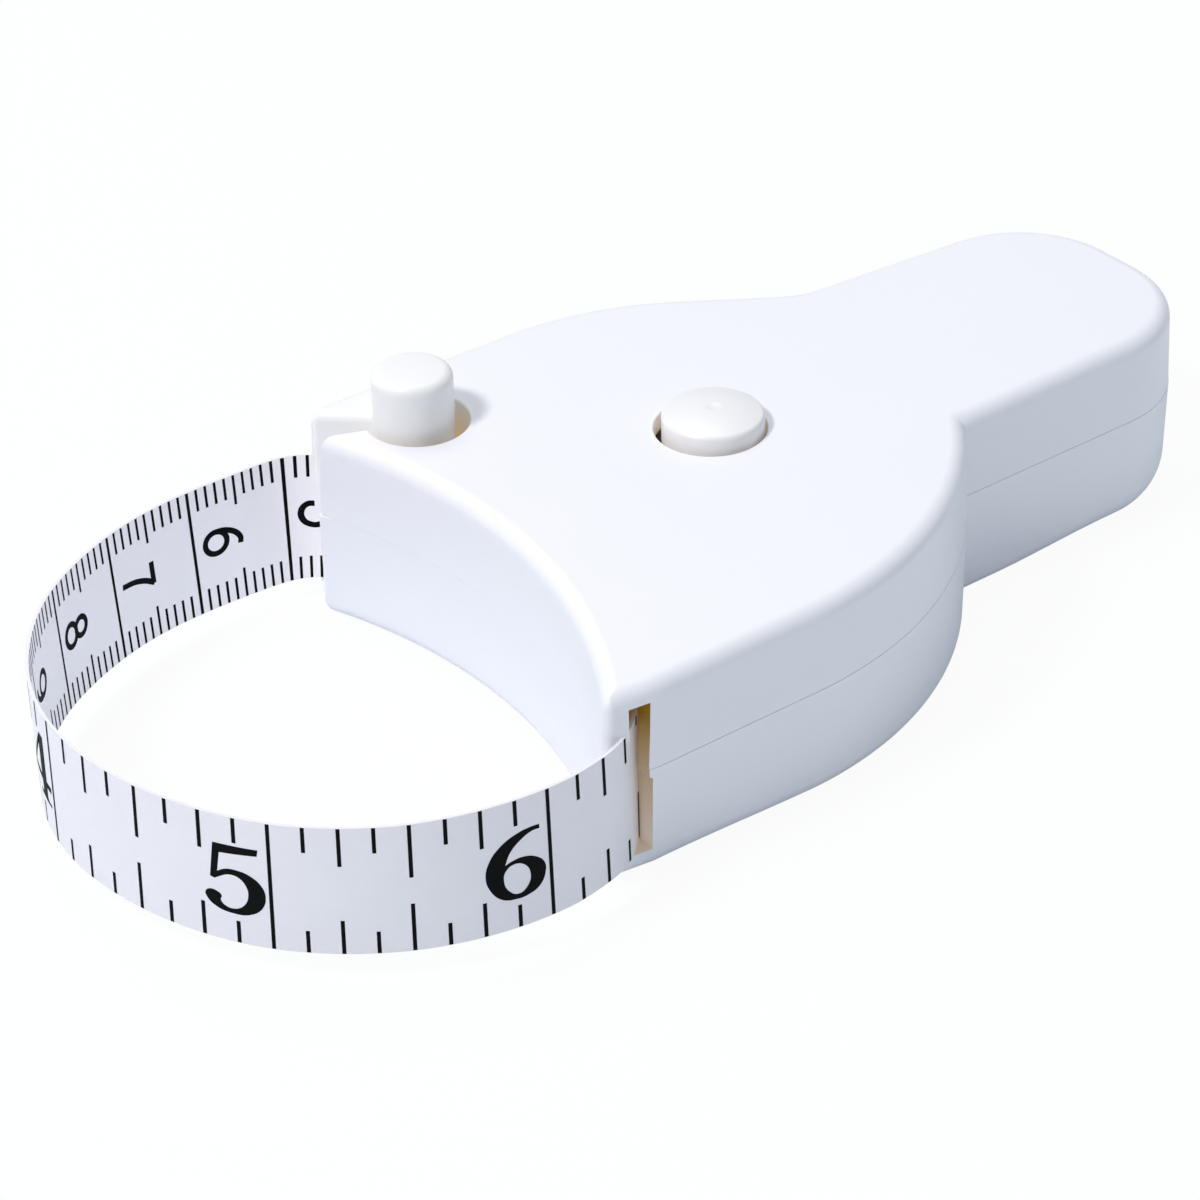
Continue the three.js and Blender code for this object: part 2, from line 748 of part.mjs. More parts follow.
function powerSpring() {
  const bend = springInnerRadius - postRadius;
  const tail = [
    vec(-postRadius / 2, 0),
    vec(postRadius, 0),
    ...springTailShares.map(([x, y]) => vec(postRadius + bend * x, bend * y)),
  ];
  const coil = spiralPath(
    springInnerRadius, springPitch, springTurns, smallSides, springBottom, springStartAngle,
  );
  const path = [...tail.map((q) => new THREE.Vector3(q.x, q.y, springBottom)), ...coil];
  return strip(path, springStripWidth, springStripThickness);
}

function frictionRing() {
  return ring(frictionRingInner, frictionRingInner + frictionRingWidth, flangeTop + runGap, roofUnder);
}

function button() {
  const edge = buttonEdgeRadius;
  const rim = pressedTop - edge;
  const corner = [0, 30, 60, 90].map((angle) => {
    const q = polar(edge, angle);
    return [buttonRadius - edge + q.x, rim + q.y];
  });
  const crown = crownShares.map((share) => {
    const radius = (buttonRadius - edge) * share;
    return [radius, pressedTop + buttonCrown * (1 - share ** 2)];
  });
  return turned([
    [buttonPocketRadius, brakeBottom],
    [brakeFlangeRadius, brakeBottom],
    [brakeFlangeRadius, brakeTop],
    [buttonRadius, brakeTop],
    ...corner,
    ...crown,
    [dimpleRadius, pressedTop + buttonCrown],
    [dimpleRadius / 2, pressedTop + buttonCrown - dimpleDepth],
    [0, pressedTop + buttonCrown - dimpleDepth],
    [0, pocketTop],
    [buttonPocketRadius, pocketTop],
  ]);
}

function buttonSpring() {
  const bottom = postTop + seatGap + coilSpringWire / 2;
  const top = pocketTop - seatGap - coilSpringWire / 2;
  class Helix extends THREE.Curve {
    getPoint(t, target = new THREE.Vector3()) {
      const angle = 2 * Math.PI * coilSpringTurns * t;
      const rise = bottom + (top - bottom) * t;
      return target.set(coilSpringRadius * Math.cos(angle), coilSpringRadius * Math.sin(angle), rise);
    }
  }
  const sides = 6;
  const section = Array.from({ length: sides }, (_, i) => polar(coilSpringWire / 2, 360 * i / sides));
  return toManifold(new THREE.ExtrudeGeometry(new THREE.Shape(section), {
    steps: coilSpringTurns * 14,
    extrudePath: new Helix(),
    bevelEnabled: false,
  }));
}

// Tape pieces

const woundTape = () =>
  strip(spiralPath(coilInner, coilPitch, coilTurns, coilStepsPerTurn, coilBottom), tapeWidth, tapeThickness);
const tapeRun = () => strip(runPath(), tapeWidth, tapeThickness);
const leanAt = (way) => {
  const outward = Math.sin(Math.PI * Math.min(1, way / leanShare)) ** 2;
  const inward = Math.sin(Math.PI * Math.max(0, (way - leanShare) / (1 - leanShare))) ** 2;
  return loopLean * outward - exitLean * inward;
};
const tapeLoop = () => strip(loopPath(), tapeWidth, tapeThickness, leanAt);

// The tape's end is looped round a pin inside the peg
const eyeInner = pegPinRadius + seatGap;
const eyeOuter = eyeInner + tapeThickness;
const eyeBottom = coilBottom - loopSag;
const eyeTop = eyeBottom + tapeWidth;

function tapeEye() {
  const way = heading(mouthAngle);
  const tail = (distance) => {
    const q = peg.clone().addScaledVector(way, distance);
    return new THREE.Vector3(q.x, q.y, eyeBottom);
  };
  const reach = (eyeInner + eyeOuter) / 2;
  return join(
    ring(eyeInner, eyeOuter, eyeBottom, eyeTop, peg, smallSides),
    strip([tail(reach), tail(pegRadius)], tapeWidth, tapeThickness),
  );
}

const pegPin = () => disc(pegPinRadius, eyeBottom, eyeTop, peg, smallSides);

function pegBody() {
  const bottom = eyeBottom - runGap;
  const top = casingHeight + pegRise;
  const corner = [0, 30, 60, 90].map((angle) => {
    const q = polar(pegEdgeRadius, angle);
    return [pegRadius - pegEdgeRadius + q.x, top - pegEdgeRadius + q.y];
  });
  const body = turned([
    [0, bottom],
    [pegRadius, bottom],
    ...corner,
    [0, top],
  ], peg);
  const way = heading(mouthAngle);
  const side = vec(-way.y, way.x);
  const far = pegRadius + overrun;
  const slit = prism([
    peg.clone().addScaledVector(side, -halfChannel),
    peg.clone().addScaledVector(side, halfChannel),
    peg.clone().addScaledVector(side, halfChannel).addScaledVector(way, far),
    peg.clone().addScaledVector(side, -halfChannel).addScaledVector(way, far),
  ].reverse(), bottom - overrun, eyeTop + seatGap);
  const eyeRoom = disc(eyeOuter + seatGap, bottom - overrun, eyeTop + seatGap, peg, smallSides);
  return cut(body, slit, eyeRoom);
}

// Screws, put in from below

function screw(place) {
  const headBottom = screwHeadDepth;
  const headTop = headBottom + screwHeadHeight;
  const body = turned([
    [0, headBottom],
    [screwHeadRadius - screwHeadEdge, headBottom],
    [screwHeadRadius, headBottom + screwHeadEdge],
    [screwHeadRadius, headTop],
    [screwShankRadius, headTop],
    [screwShankRadius, screwEnd - screwPointLength],
    [screwPointRadius, screwEnd],
    [0, screwEnd],
  ], place, smallSides);
  const half = crossWidth / 2;
  const bar = (x, y) => prism([
    vec(place.x - x, place.y - y),
    vec(place.x + x, place.y - y),
    vec(place.x + x, place.y + y),
    vec(place.x - x, place.y + y),
  ], headBottom - overrun, headBottom + crossDepth);
  return cut(body, bar(crossReach, half), bar(half, crossReach));
}

// Materials

const finish = (color, roughness, metalness = 0) =>
  new THREE.MeshStandardMaterial({ color, roughness, metalness });
const whiteShell = finish(0xf2f4f8, 0.35);
const whiteButton = finish(0xf4f4f5, 0.32);
const whitePeg = finish(0xf1f0f0, 0.38);
const naturalReel = finish(0xe6e4dc, 0.5);
const blackRubber = finish(0x2b2b2d, 0.85);
const springSteel = finish(0x8f959c, 0.3, 1);
const screwSteel = finish(0xb9bcc0, 0.35, 1);
const coatedCloth = finish(0xe6e8f1, 0.42);

const model = new THREE.Group();

function add(name, solid, material) {
  const mesh = new THREE.Mesh(toGeometry(solid), material);
  mesh.name = name;
  model.add(mesh);
}

add('lower_shell', lowerShell(), whiteShell);
add('upper_shell', upperShell(), whiteShell);
screwPlaces.forEach((place, i) => add(`casing_screw_${i + 1}`, screw(place), screwSteel));
add('arbor', arbor(), naturalReel);
add('reel_drum', reelDrum(), naturalReel);
add('reel_flange', reelFlange(), naturalReel);
add('spring_cover', springCover(), naturalReel);
add('power_spring', powerSpring(), springSteel);
add('brake_ring', frictionRing(), blackRubber);
add('button', button(), whiteButton);
add('button_spring', buttonSpring(), springSteel);
add('wound_tape', woundTape(), coatedCloth);
add('tape_run', tapeRun(), coatedCloth);
add('tape_loop', tapeLoop(), coatedCloth);
add('tape_eye', tapeEye(), coatedCloth);
add('peg', pegBody(), whitePeg);
add('peg_pin', pegPin(), screwSteel);

export default model;
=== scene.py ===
"""Looks of a push-button body tape measure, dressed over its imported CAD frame.

Lengths are millimetres and become metres where a mesh is made. Heights are over the underside.
"""
import math

import bmesh
import bpy
import numpy as np
from mathutils import Matrix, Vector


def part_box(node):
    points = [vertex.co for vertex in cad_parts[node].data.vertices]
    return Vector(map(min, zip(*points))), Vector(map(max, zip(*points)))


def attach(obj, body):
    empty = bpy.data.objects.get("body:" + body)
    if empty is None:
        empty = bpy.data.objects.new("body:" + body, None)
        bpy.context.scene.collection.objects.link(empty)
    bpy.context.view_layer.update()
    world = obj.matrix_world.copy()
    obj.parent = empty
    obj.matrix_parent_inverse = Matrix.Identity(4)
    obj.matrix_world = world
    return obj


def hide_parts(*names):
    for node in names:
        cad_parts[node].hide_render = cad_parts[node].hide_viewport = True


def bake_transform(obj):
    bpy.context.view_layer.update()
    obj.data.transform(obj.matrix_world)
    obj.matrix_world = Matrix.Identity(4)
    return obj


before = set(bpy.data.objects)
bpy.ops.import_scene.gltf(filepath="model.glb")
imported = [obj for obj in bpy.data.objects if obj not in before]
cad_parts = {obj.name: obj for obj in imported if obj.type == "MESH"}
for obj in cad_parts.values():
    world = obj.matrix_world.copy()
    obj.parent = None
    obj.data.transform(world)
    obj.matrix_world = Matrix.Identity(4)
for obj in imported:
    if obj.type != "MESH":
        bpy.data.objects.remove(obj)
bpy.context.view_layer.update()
scene = bpy.context.scene
MM = 0.001

# Sizes shared with the CAD
HEIGHT = 20.25
PARTING = 11.52
SEAM = 0.015
SHELL_STEP = 0.035
DRAFT = 0.2
WALL = 1.6
FLOOR = 1.8
ROOF_UNDER = 18.45
SOCKET = np.array([-18.803, -20.376])
SOCKET_RADIUS = 5.0
SOCKET_WALL = 1.2
PEG = np.array([-18.992, -20.683])
PEG_RADIUS = 3.9
PEG_TOP = 25.8
MOUTH_ANGLE = -121.7
TAPE_WIDTH = 13.0
TAPE_THICK = 0.3
COIL_BOTTOM = 2.9
COIL_INNER, COIL_PITCH, COIL_TURNS = 13.376, 0.65, 11
LOOP_SAG = 0.5
EXIT_WALL = 30.546
HALF_CHANNEL = TAPE_THICK / 2 + 0.3
SCREWS = np.array([[16.546, -24.89], [-22.162, -10.809], [0.5, 41.4]])

SQUARE = ((-1, -1), (1, -1), (1, 1), (-1, 1))
WHITE = (1, 1, 1, 1)


def unit(angle):
    """Unit vector at an angle in degrees: (cos, sin)."""
    turn = math.radians(angle)
    return np.array([math.cos(turn), math.sin(turn)])


def put(piece, side, up, away, place):
    """Links an object whose three axes and place, in metres, are the columns of its matrix."""
    matrix = np.eye(4)
    matrix[:3] = np.column_stack([side, up, away, place])
    piece.matrix_world = Matrix(matrix.tolist())
    scene.collection.objects.link(piece)


# Camera, at the photograph's angle

AZIMUTH, ELEVATION, ROLL = 52.59, 33.09, -1.25
EYE = np.array([282.1, -229.3, 237.8])
LENS, SENSOR = 135.0, 36.0
NEAR, FAR = 0.02, 20.0


def aim_camera():
    """Back vector (sin a cos e, -cos a cos e, sin e), then a small roll about it."""
    (across, ahead), (level, rise), (keep, tilt) = unit(AZIMUTH), unit(ELEVATION), unit(ROLL)
    back = np.array([ahead * level, -across * level, rise])
    right = np.array([across, ahead, 0.0])
    up = np.cross(back, right)
    data = bpy.data.cameras.new("camera")
    data.lens, data.sensor_width, data.clip_start, data.clip_end = LENS, SENSOR, NEAR, FAR
    camera = bpy.data.objects.new("camera", data)
    put(camera, keep * right + tilt * up, keep * up - tilt * right, back, EYE * MM)
    scene.camera = camera


aim_camera()


# Shader maths

def operation(name, swapped=False):
    """A method that adds a Math node. A reflected one swaps its terms."""
    def method(self, other):
        return self.math(name, *((other, self) if swapped else (self, other)))
    return method


class Value:
    """One shader number. The operators on it add Math nodes to its tree."""

    __add__, __radd__ = operation("ADD"), operation("ADD", True)
    __sub__, __rsub__ = operation("SUBTRACT"), operation("SUBTRACT", True)
    __mul__, __rmul__ = operation("MULTIPLY"), operation("MULTIPLY", True)

    def __init__(self, owner, socket):
        self.owner, self.socket = owner, socket

    def math(self, name, *terms, clamp=False):
        settings = {"operation": name, "use_clamp": clamp}
        return Value(self.owner, self.owner.node("ShaderNodeMath", settings, dict(enumerate(terms))))

    def sine(self):
        return self.math("SINE", self)

    def within(self):
        """The number held between 0 and 1."""
        return self.math("ADD", self, 0.0, clamp=True)


class Tree:
    """The node tree of a material or a world, without its first nodes where it starts empty."""

    def __init__(self, owner, empty=False):
        owner.use_nodes = True
        self.tree = owner.node_tree
        if empty:
            self.tree.nodes.clear()

    def fill(self, socket, value):
        """Gives a socket a number, a colour or a link."""
        value = value.socket if isinstance(value, Value) else value
        if isinstance(value, bpy.types.NodeSocket):
            self.tree.links.new(value, socket)
        else:
            socket.default_value = value

    def node(self, kind, settings=(), inputs=(), output=0):
        """Adds a node, sets it, fills its sockets and gives one of its outputs, or all for None."""
        node = self.tree.nodes.new(kind)
        for key, value in dict(settings).items():
            setattr(node, key, value)
        for key, value in dict(inputs).items():
            self.fill(node.inputs[key], value)
        return node.outputs if output is None else node.outputs[output]


class Shader(Tree):
    """A material round one Principled shader, its patterns in object coordinates."""

    def __init__(self, name, **sockets):
        self.material = bpy.data.materials.new(name)
        super().__init__(self.material)
        self.place = self.node("ShaderNodeTexCoord", output="Object")
        self.finish(sockets)

    def finish(self, sockets):
        """Fills the Principled shader's sockets and gives the material."""
        for name, value in sockets.items():
            self.fill(self.tree.nodes["Principled BSDF"].inputs[name], value)
        return self.material

    def noise(self, scale, detail=3.0, rough=0.5, where=None):
        inputs = {"Vector": where or self.place, "Scale": scale, "Detail": detail, "Roughness": rough}
        return Value(self, self.node("ShaderNodeTexNoise", (), inputs))

    def parts(self, vector):
        """The three numbers of a vector."""
        return [Value(self, part) for part in self.node("ShaderNodeSeparateXYZ", (), {0: vector}, None)]

    def blend(self, share, first, second):
        """Colour between two, by a share from 0 to 1."""
        inputs = {0: share, 6: (*first, 1.0), 7: (*second, 1.0)}
        return self.node("ShaderNodeMix", {"data_type": "RGBA"}, inputs, 2)

    def bump(self, height, strength, distance=0.02):
        inputs = {"Height": height, "Strength": strength, "Distance": distance * MM}
        return self.node("ShaderNodeBump", (), inputs)


def moulded(name, colour, shade, rough):
    """Moulded plastic: slow drifts of tone and gloss, and a fine spark-eroded skin."""
    s = Shader(name)
    gloss_drift, skin_gloss, grain = 0.05, 0.06, 0.35
    drift, gloss, skin = s.noise(38.0, 2.0), s.noise(90.0, 4.0), s.noise(2600.0, 3.0, 0.6)
    return s.finish({
        "Base Color": s.blend(drift, shade, colour),
        "Roughness": rough - gloss_drift / 2 + gloss_drift * gloss + skin_gloss * (skin - 0.5),
        "Normal": s.bump(skin, grain)})


def metal(name, colour, rough, stretch):
    """Drawn or plated steel: streaks along its height, with slightly uneven gloss."""
    s = Shader(name, Metallic=1.0)
    where = s.node("ShaderNodeMapping", (), {0: s.place, 3: (1.0, 1.0, stretch)})
    streak, darker, gloss_drift = s.noise(900.0, 4.0, 0.6, where), 0.75, 0.16
    return s.finish({
        "Base Color": s.blend(streak, tuple(darker * c for c in colour), colour),
        "Roughness": rough - gloss_drift / 2 + gloss_drift * streak,
        "Normal": s.bump(streak, 0.25)})


def rubber(name):
    """Black rubber: matt, with a fine grain."""
    s = Shader(name)
    grain = s.noise(1800.0, 4.0, 0.65)
    return s.finish({
        "Base Color": s.blend(grain, (0.012, 0.012, 0.013), (0.035, 0.035, 0.037)),
        "Roughness": 0.72 + 0.2 * grain,
        "Normal": s.bump(grain, 0.4, 0.04)})


def coated_cloth(name, colour, shade, through=0.0):
    """Coated cloth: a faint plain weave, sin(along) times sin(across), and a painted glow by emission that
    stands in for some light through it.
    """
    s = Shader(name, **{"Emission Strength": through})
    thread = 2 * math.pi / 0.42
    along, across = s.parts(s.node("ShaderNodeUVMap", {"uv_map": "flat"}))[:2]
    weave = (along * thread).sine() * (across * thread).sine()
    cloud = s.noise(160.0)
    tone = s.blend((cloud * 0.8 + weave * 0.06 + 0.1).within(), shade, colour)
    return s.finish({
        "Base Color": tone,
        "Emission Color": tone,
        "Roughness": 0.40 + 0.10 * cloud + 0.03 * weave,
        "Normal": s.bump(weave * 0.5 + s.noise(900.0, 2.0) * 0.6, 0.22)})


def ink(name):
    """Printed ink: black, a little uneven in tone and gloss where it lies on the threads."""
    s = Shader(name, **{"Specular IOR Level": 0.08})
    patch = s.noise(2200.0, 3.0, 0.6)
    return s.finish({
        "Base Color": s.blend(patch, (0.001, 0.001, 0.0012), (0.003, 0.003, 0.0035)),
        "Roughness": 0.5 + 0.2 * patch})


def tinted(name, top, bottom, light, deep, glow, deep_glow):
    """White plastic with painted shade and a painted glow: colour and emission change with depth, mostly
    warmer and darker lower down, by the share (top - z) over the drop; the glow stands in for light through
    its walls.
    """
    s = Shader(name, **{"Emission Strength": 1.0})
    drop, uneven = (top - bottom) * MM, 0.1
    depth = (top * MM - s.parts(s.place)[2]) * (1 / drop)
    share = (depth + uneven * (s.noise(60.0) - 0.5)).within()
    return s.finish({
        "Base Color": s.blend(share, light, deep),
        "Emission Color": s.blend(share, glow, deep_glow),
        "Roughness": 0.45 + 0.1 * s.noise(300.0)})


SHELL = moulded("white_shell_plastic", (0.895, 0.885, 0.935), (0.877, 0.867, 0.920), 0.36)
# Painted shade: the inside faces of the white casing get a warm brown colour for the shade in its hollows.
INSIDE_PAINTED_SHADE = moulded("casing_inside_painted_shade", (0.62, 0.50, 0.33), (0.52, 0.40, 0.25), 0.5)
# Painted shade in the peg's socket: darker and warmer with depth, with a painted glow that grows with depth.
WELL = tinted("socket_shade", 19.9, 14.0, (0.885, 0.88, 0.88), (0.62, 0.53, 0.40),
              (0.03, 0.025, 0.02), (0.24, 0.18, 0.09))
# Painted shade in the button's hole: darker and warmer with depth, with a painted glow that grows with
# depth.
COLLAR = tinted("button_hole_shade", 20.2, 18.4, (0.885, 0.88, 0.88), (0.70, 0.62, 0.50),
                (0.05, 0.045, 0.04), (0.20, 0.15, 0.09))
# Painted glow on the horn's cheeks by emission, with a slight painted shade: a little darker towards the
# foot.
CHEEK_PAINTED_GLOW = tinted("horn_cheek_painted_glow", 19.9, 3.0, (0.885, 0.885, 0.90), (0.87, 0.865, 0.87),
               (0.09, 0.08, 0.08), (0.10, 0.09, 0.08))
# Painted shade in the exit slot: dark brown at its top, paler towards its foot, with a faint painted glow.
SLOT = tinted("exit_slot_shade", 16.5, 3.5, (0.35, 0.20, 0.02), (0.74, 0.63, 0.54),
              (0.04, 0.02, 0.0), (0.10, 0.08, 0.06))
BUTTON = moulded("white_button_plastic", (0.885, 0.865, 0.885), (0.865, 0.845, 0.865), 0.33)
PEG_PLASTIC = moulded("white_peg_plastic", (0.915, 0.895, 0.90), (0.895, 0.875, 0.88), 0.38)
NATURAL = moulded("natural_reel_plastic", (0.70, 0.67, 0.58), (0.64, 0.61, 0.52), 0.5)
RUBBER = rubber("black_brake_rubber")
SPRING = metal("oiled_spring_steel", (0.36, 0.38, 0.41), 0.32, 0.08)
PLATED = metal("plated_screw_steel", (0.62, 0.63, 0.66), 0.30, 0.3)
CLOTH = coated_cloth("coated_tape_cloth", (0.80, 0.795, 0.85), (0.76, 0.755, 0.815))
# The band's faces carry a painted glow by emission, stronger on the inner face, in place of light through
# the cloth and light bounced inside the loop.
OUTER_CLOTH = coated_cloth("coated_cloth_outside", (0.812, 0.79, 0.837), (0.772, 0.75, 0.802), 0.085)
INNER_CLOTH = coated_cloth("coated_cloth_inside", (0.817, 0.80, 0.845), (0.777, 0.76, 0.81), 0.215)
INK = ink("printed_black_ink")


# Mesh making

def make(name, verts, faces, material, smooth=True):
    """A mesh object at the origin from points in millimetres."""
    mesh = bpy.data.meshes.new(name)
    mesh.from_pydata((np.asarray(verts, float) * MM).tolist(), [], [list(map(int, f)) for f in faces])
    mesh.validate()
    mesh.materials.append(material)
    mesh.polygons.foreach_set("use_smooth", [smooth] * len(mesh.polygons))
    piece = bpy.data.objects.new(name, mesh)
    scene.collection.objects.link(piece)
    return piece


def skin_faces(rows, columns, closed=False):
    """Quads of a grid whose columns close on themselves, with flat ends unless its rows do so too."""
    r, c = np.meshgrid(np.arange(rows if closed else rows - 1), np.arange(columns), indexing="ij")
    r2, c2 = (r + 1) % rows, (c + 1) % columns
    quads = np.stack([r * columns + c, r * columns + c2, r2 * columns + c2, r2 * columns + c], -1)
    first, last = list(range(columns)), list(range((rows - 1) * columns, rows * columns))
    return quads.reshape(-1, 4).tolist() + ([] if closed else [first[::-1], last])


def loft(name, rings, material, smooth=True, closed=False):
    """Skin through rings of equal length, (rows, columns, 3), its doubles merged, its faces outwards."""
    rings = np.asarray(rings, float)
    piece = make(name, rings.reshape(-1, 3), skin_faces(*rings.shape[:2], closed), material, smooth)
    work, doubles = bmesh.new(), 1e-7
    work.from_mesh(piece.data)
    bmesh.ops.remove_doubles(work, verts=work.verts, dist=doubles)
    bmesh.ops.dissolve_degenerate(work, edges=work.edges, dist=doubles)
    bmesh.ops.recalc_face_normals(work, faces=work.faces)
    work.to_mesh(piece.data)
    work.free()
    return piece


def at_height(points, z):
    """Plan points at one height, or at a height each."""
    return np.column_stack([points, np.broadcast_to(z, len(points))])


def prism(points, low, high, material):
    """A plan outline raised between two heights."""
    points = np.asarray(points, float)
    return loft("cutter", [at_height(points, z) for z in (low, high)], material, smooth=False)


def turned(name, profile, material, place=(0, 0), sides=128, closed=False):
    """A (radius, height) profile turned about Z: (r cos t, r sin t, z). One off the axis is closed."""
    radius, height = np.hsplit(np.asarray(profile, float), 2)
    turn = np.arange(sides) * 2 * np.pi / sides
    rings = [place[0] + radius * np.cos(turn), place[1] + radius * np.sin(turn), height + 0 * turn]
    return loft(name, np.stack(rings, -1), material, closed=closed)


def cut(piece, *others, operation="DIFFERENCE"):
    """Takes closed meshes out of a piece one by one, or joins them to it, and drops them."""
    for other in others:
        change = piece.modifiers.new("change", "BOOLEAN")
        change.object, change.operation, change.solver = other, operation, "MANIFOLD"
        change.material_mode = "TRANSFER"
        graph = bpy.context.evaluated_depsgraph_get()
        mesh, old = bpy.data.meshes.new_from_object(piece.evaluated_get(graph)), piece.data
        piece.modifiers.clear()
        piece.data = mesh
        bpy.data.meshes.remove(old)
        bpy.data.objects.remove(other)


def join(piece, *others):
    cut(piece, *others, operation="UNION")


def finish_edges(piece, angle=32.0):
    """Sharp edges by angle, and corner normals weighted by face area."""
    mesh = piece.data
    mesh.polygons.foreach_set("use_smooth", [True] * len(mesh.polygons))
    mesh.set_sharp_from_angle(angle=math.radians(angle))
    weighted = piece.modifiers.new("weighted", "WEIGHTED_NORMAL")
    weighted.keep_sharp, weighted.weight, weighted.mode = True, 60, "FACE_AREA"
    return piece


# Runs of plan points

def sweep(centre, radius, start, end, steps):
    """Points round a centre: centre + radius times (cos t, sin t), with t in degrees."""
    turn = np.radians(np.linspace(start, end, steps + 1))
    return np.asarray(centre) + radius * np.column_stack([np.cos(turn), np.sin(turn)])


def arc(centre, radius, start, end, step=0.45):
    """Points round a centre from one angle to the other, about a step apart."""
    steps = max(6, math.ceil(abs(math.radians(end - start)) * radius / step))
    return sweep(centre, radius, start, end, steps)


def line(start, end, step=1.2):
    """Evenly spaced points of a straight stretch."""
    start, end = np.asarray(start, float), np.asarray(end, float)
    steps = max(1, math.ceil(np.linalg.norm(end - start) / step))
    return start + (end - start) * np.linspace(0, 1, steps + 1)[:, None]


def chain(*runs):
    """Runs that meet end to start as one, with each shared point once."""
    return np.vstack([run[:-1] for run in runs[:-1]] + [runs[-1]])


def angle_of(vector):
    return math.degrees(math.atan2(vector[1], vector[0]))


def lengths(run):
    """Length along a run at each of its points."""
    return np.concatenate([[0], np.cumsum(np.linalg.norm(np.diff(run, axis=0), axis=1))])


def points_at(where, run, along):
    """Points of a run at some lengths along it."""
    return np.column_stack([np.interp(where, along, column) for column in run.T])


def ways(run):
    """Unit vectors along a run at its points."""
    way = np.gradient(run, axis=0)
    return way / np.linalg.norm(way, axis=1)[:, None]


def right_of(way):
    """Plan vectors turned a quarter to their right."""
    return np.column_stack([way[:, 1], -way[:, 0]])


def bell(step, spread):
    """Weights of a bell curve, exp(-(x / spread)^2 / 2), that add up to 1."""
    reach = int(3 * spread / step)
    weights = np.exp(-0.5 * (np.arange(-reach, reach + 1) * step / spread) ** 2)
    return weights / weights.sum()


def soft_step(x):
    """0 below 0, 1 above 1, and 3 x^2 - 2 x^3 between."""
    x = np.clip(x, 0, 1)
    return x * x * (3 - 2 * x)


def shorten(points, length):
    """Takes a length off the end of a run of points."""
    along = lengths(points)
    target = along[-1] - length
    return np.vstack([points[along < target - 1e-6], points_at([target], points, along)])


def round_between(first, second, radius):
    """Joins two runs that meet at a convex corner by an arc tangent to both."""
    into, out = first[-1] - first[-2], second[1] - second[0]
    into, out = into / np.linalg.norm(into), out / np.linalg.norm(out)
    turn = math.acos(float(np.clip(into @ out, -1, 1)))
    length = radius * math.tan(turn / 2)
    first, second = shorten(first, length), shorten(second[::-1], length)[::-1]
    centre = first[-1] + radius * np.array([-into[1], into[0]])
    start = angle_of(first[-1] - centre)
    return first, arc(centre, radius, start, start + math.degrees(turn), 0.12)[1:-1], second


def corner_centre(first, first_out, second, second_out, radius):
    """Centre that lies a radius outside two lines, each given by a point and its outward normal."""
    reach = np.array([first @ first_out, second @ second_out]) + radius
    return np.linalg.solve(np.array([first_out, second_out]), reach)


# Casing outline, anticlockwise

FRONT_CENTRE, FRONT_RADIUS = np.array([-2.6, -82.076]), 55.9
SHOULDER, SHOULDER_RADIUS = np.array([-9.6, -12.7]), 40.146
PEG_SIDE, PEG_SIDE_RADIUS, PEG_SIDE_SLOPE = np.array([3.75, -4.4]), 31.057, 55.5
GRIP_RIGHT, GRIP_LEFT, GRIP_TURN, GRIP_TAPER = np.array([2.75, 41.4]), np.array([-1.75, 41.4]), 11.6, 4.8
WAIST_TURN = 8.0
PEG_WALL = PEG_SIDE[0] - PEG_SIDE_RADIUS
EXIT_LEAN_LENGTH = 5.8
EXIT_ROUND, REAR_ROUND, FRONT_ROUND = 0.9, 1.5, 1.2


def front_point(x):
    """The point of the front arc at x."""
    return np.array([x, FRONT_CENTRE[1] + math.sqrt(FRONT_RADIUS ** 2 - (x - FRONT_CENTRE[0]) ** 2)])


EXIT_TIP, PEG_TIP = front_point(EXIT_WALL - 0.75), front_point(SOCKET[0] - 3.7)
REAR_TIP = np.array([PEG_WALL - 0.45, SOCKET[1] - 6.5])


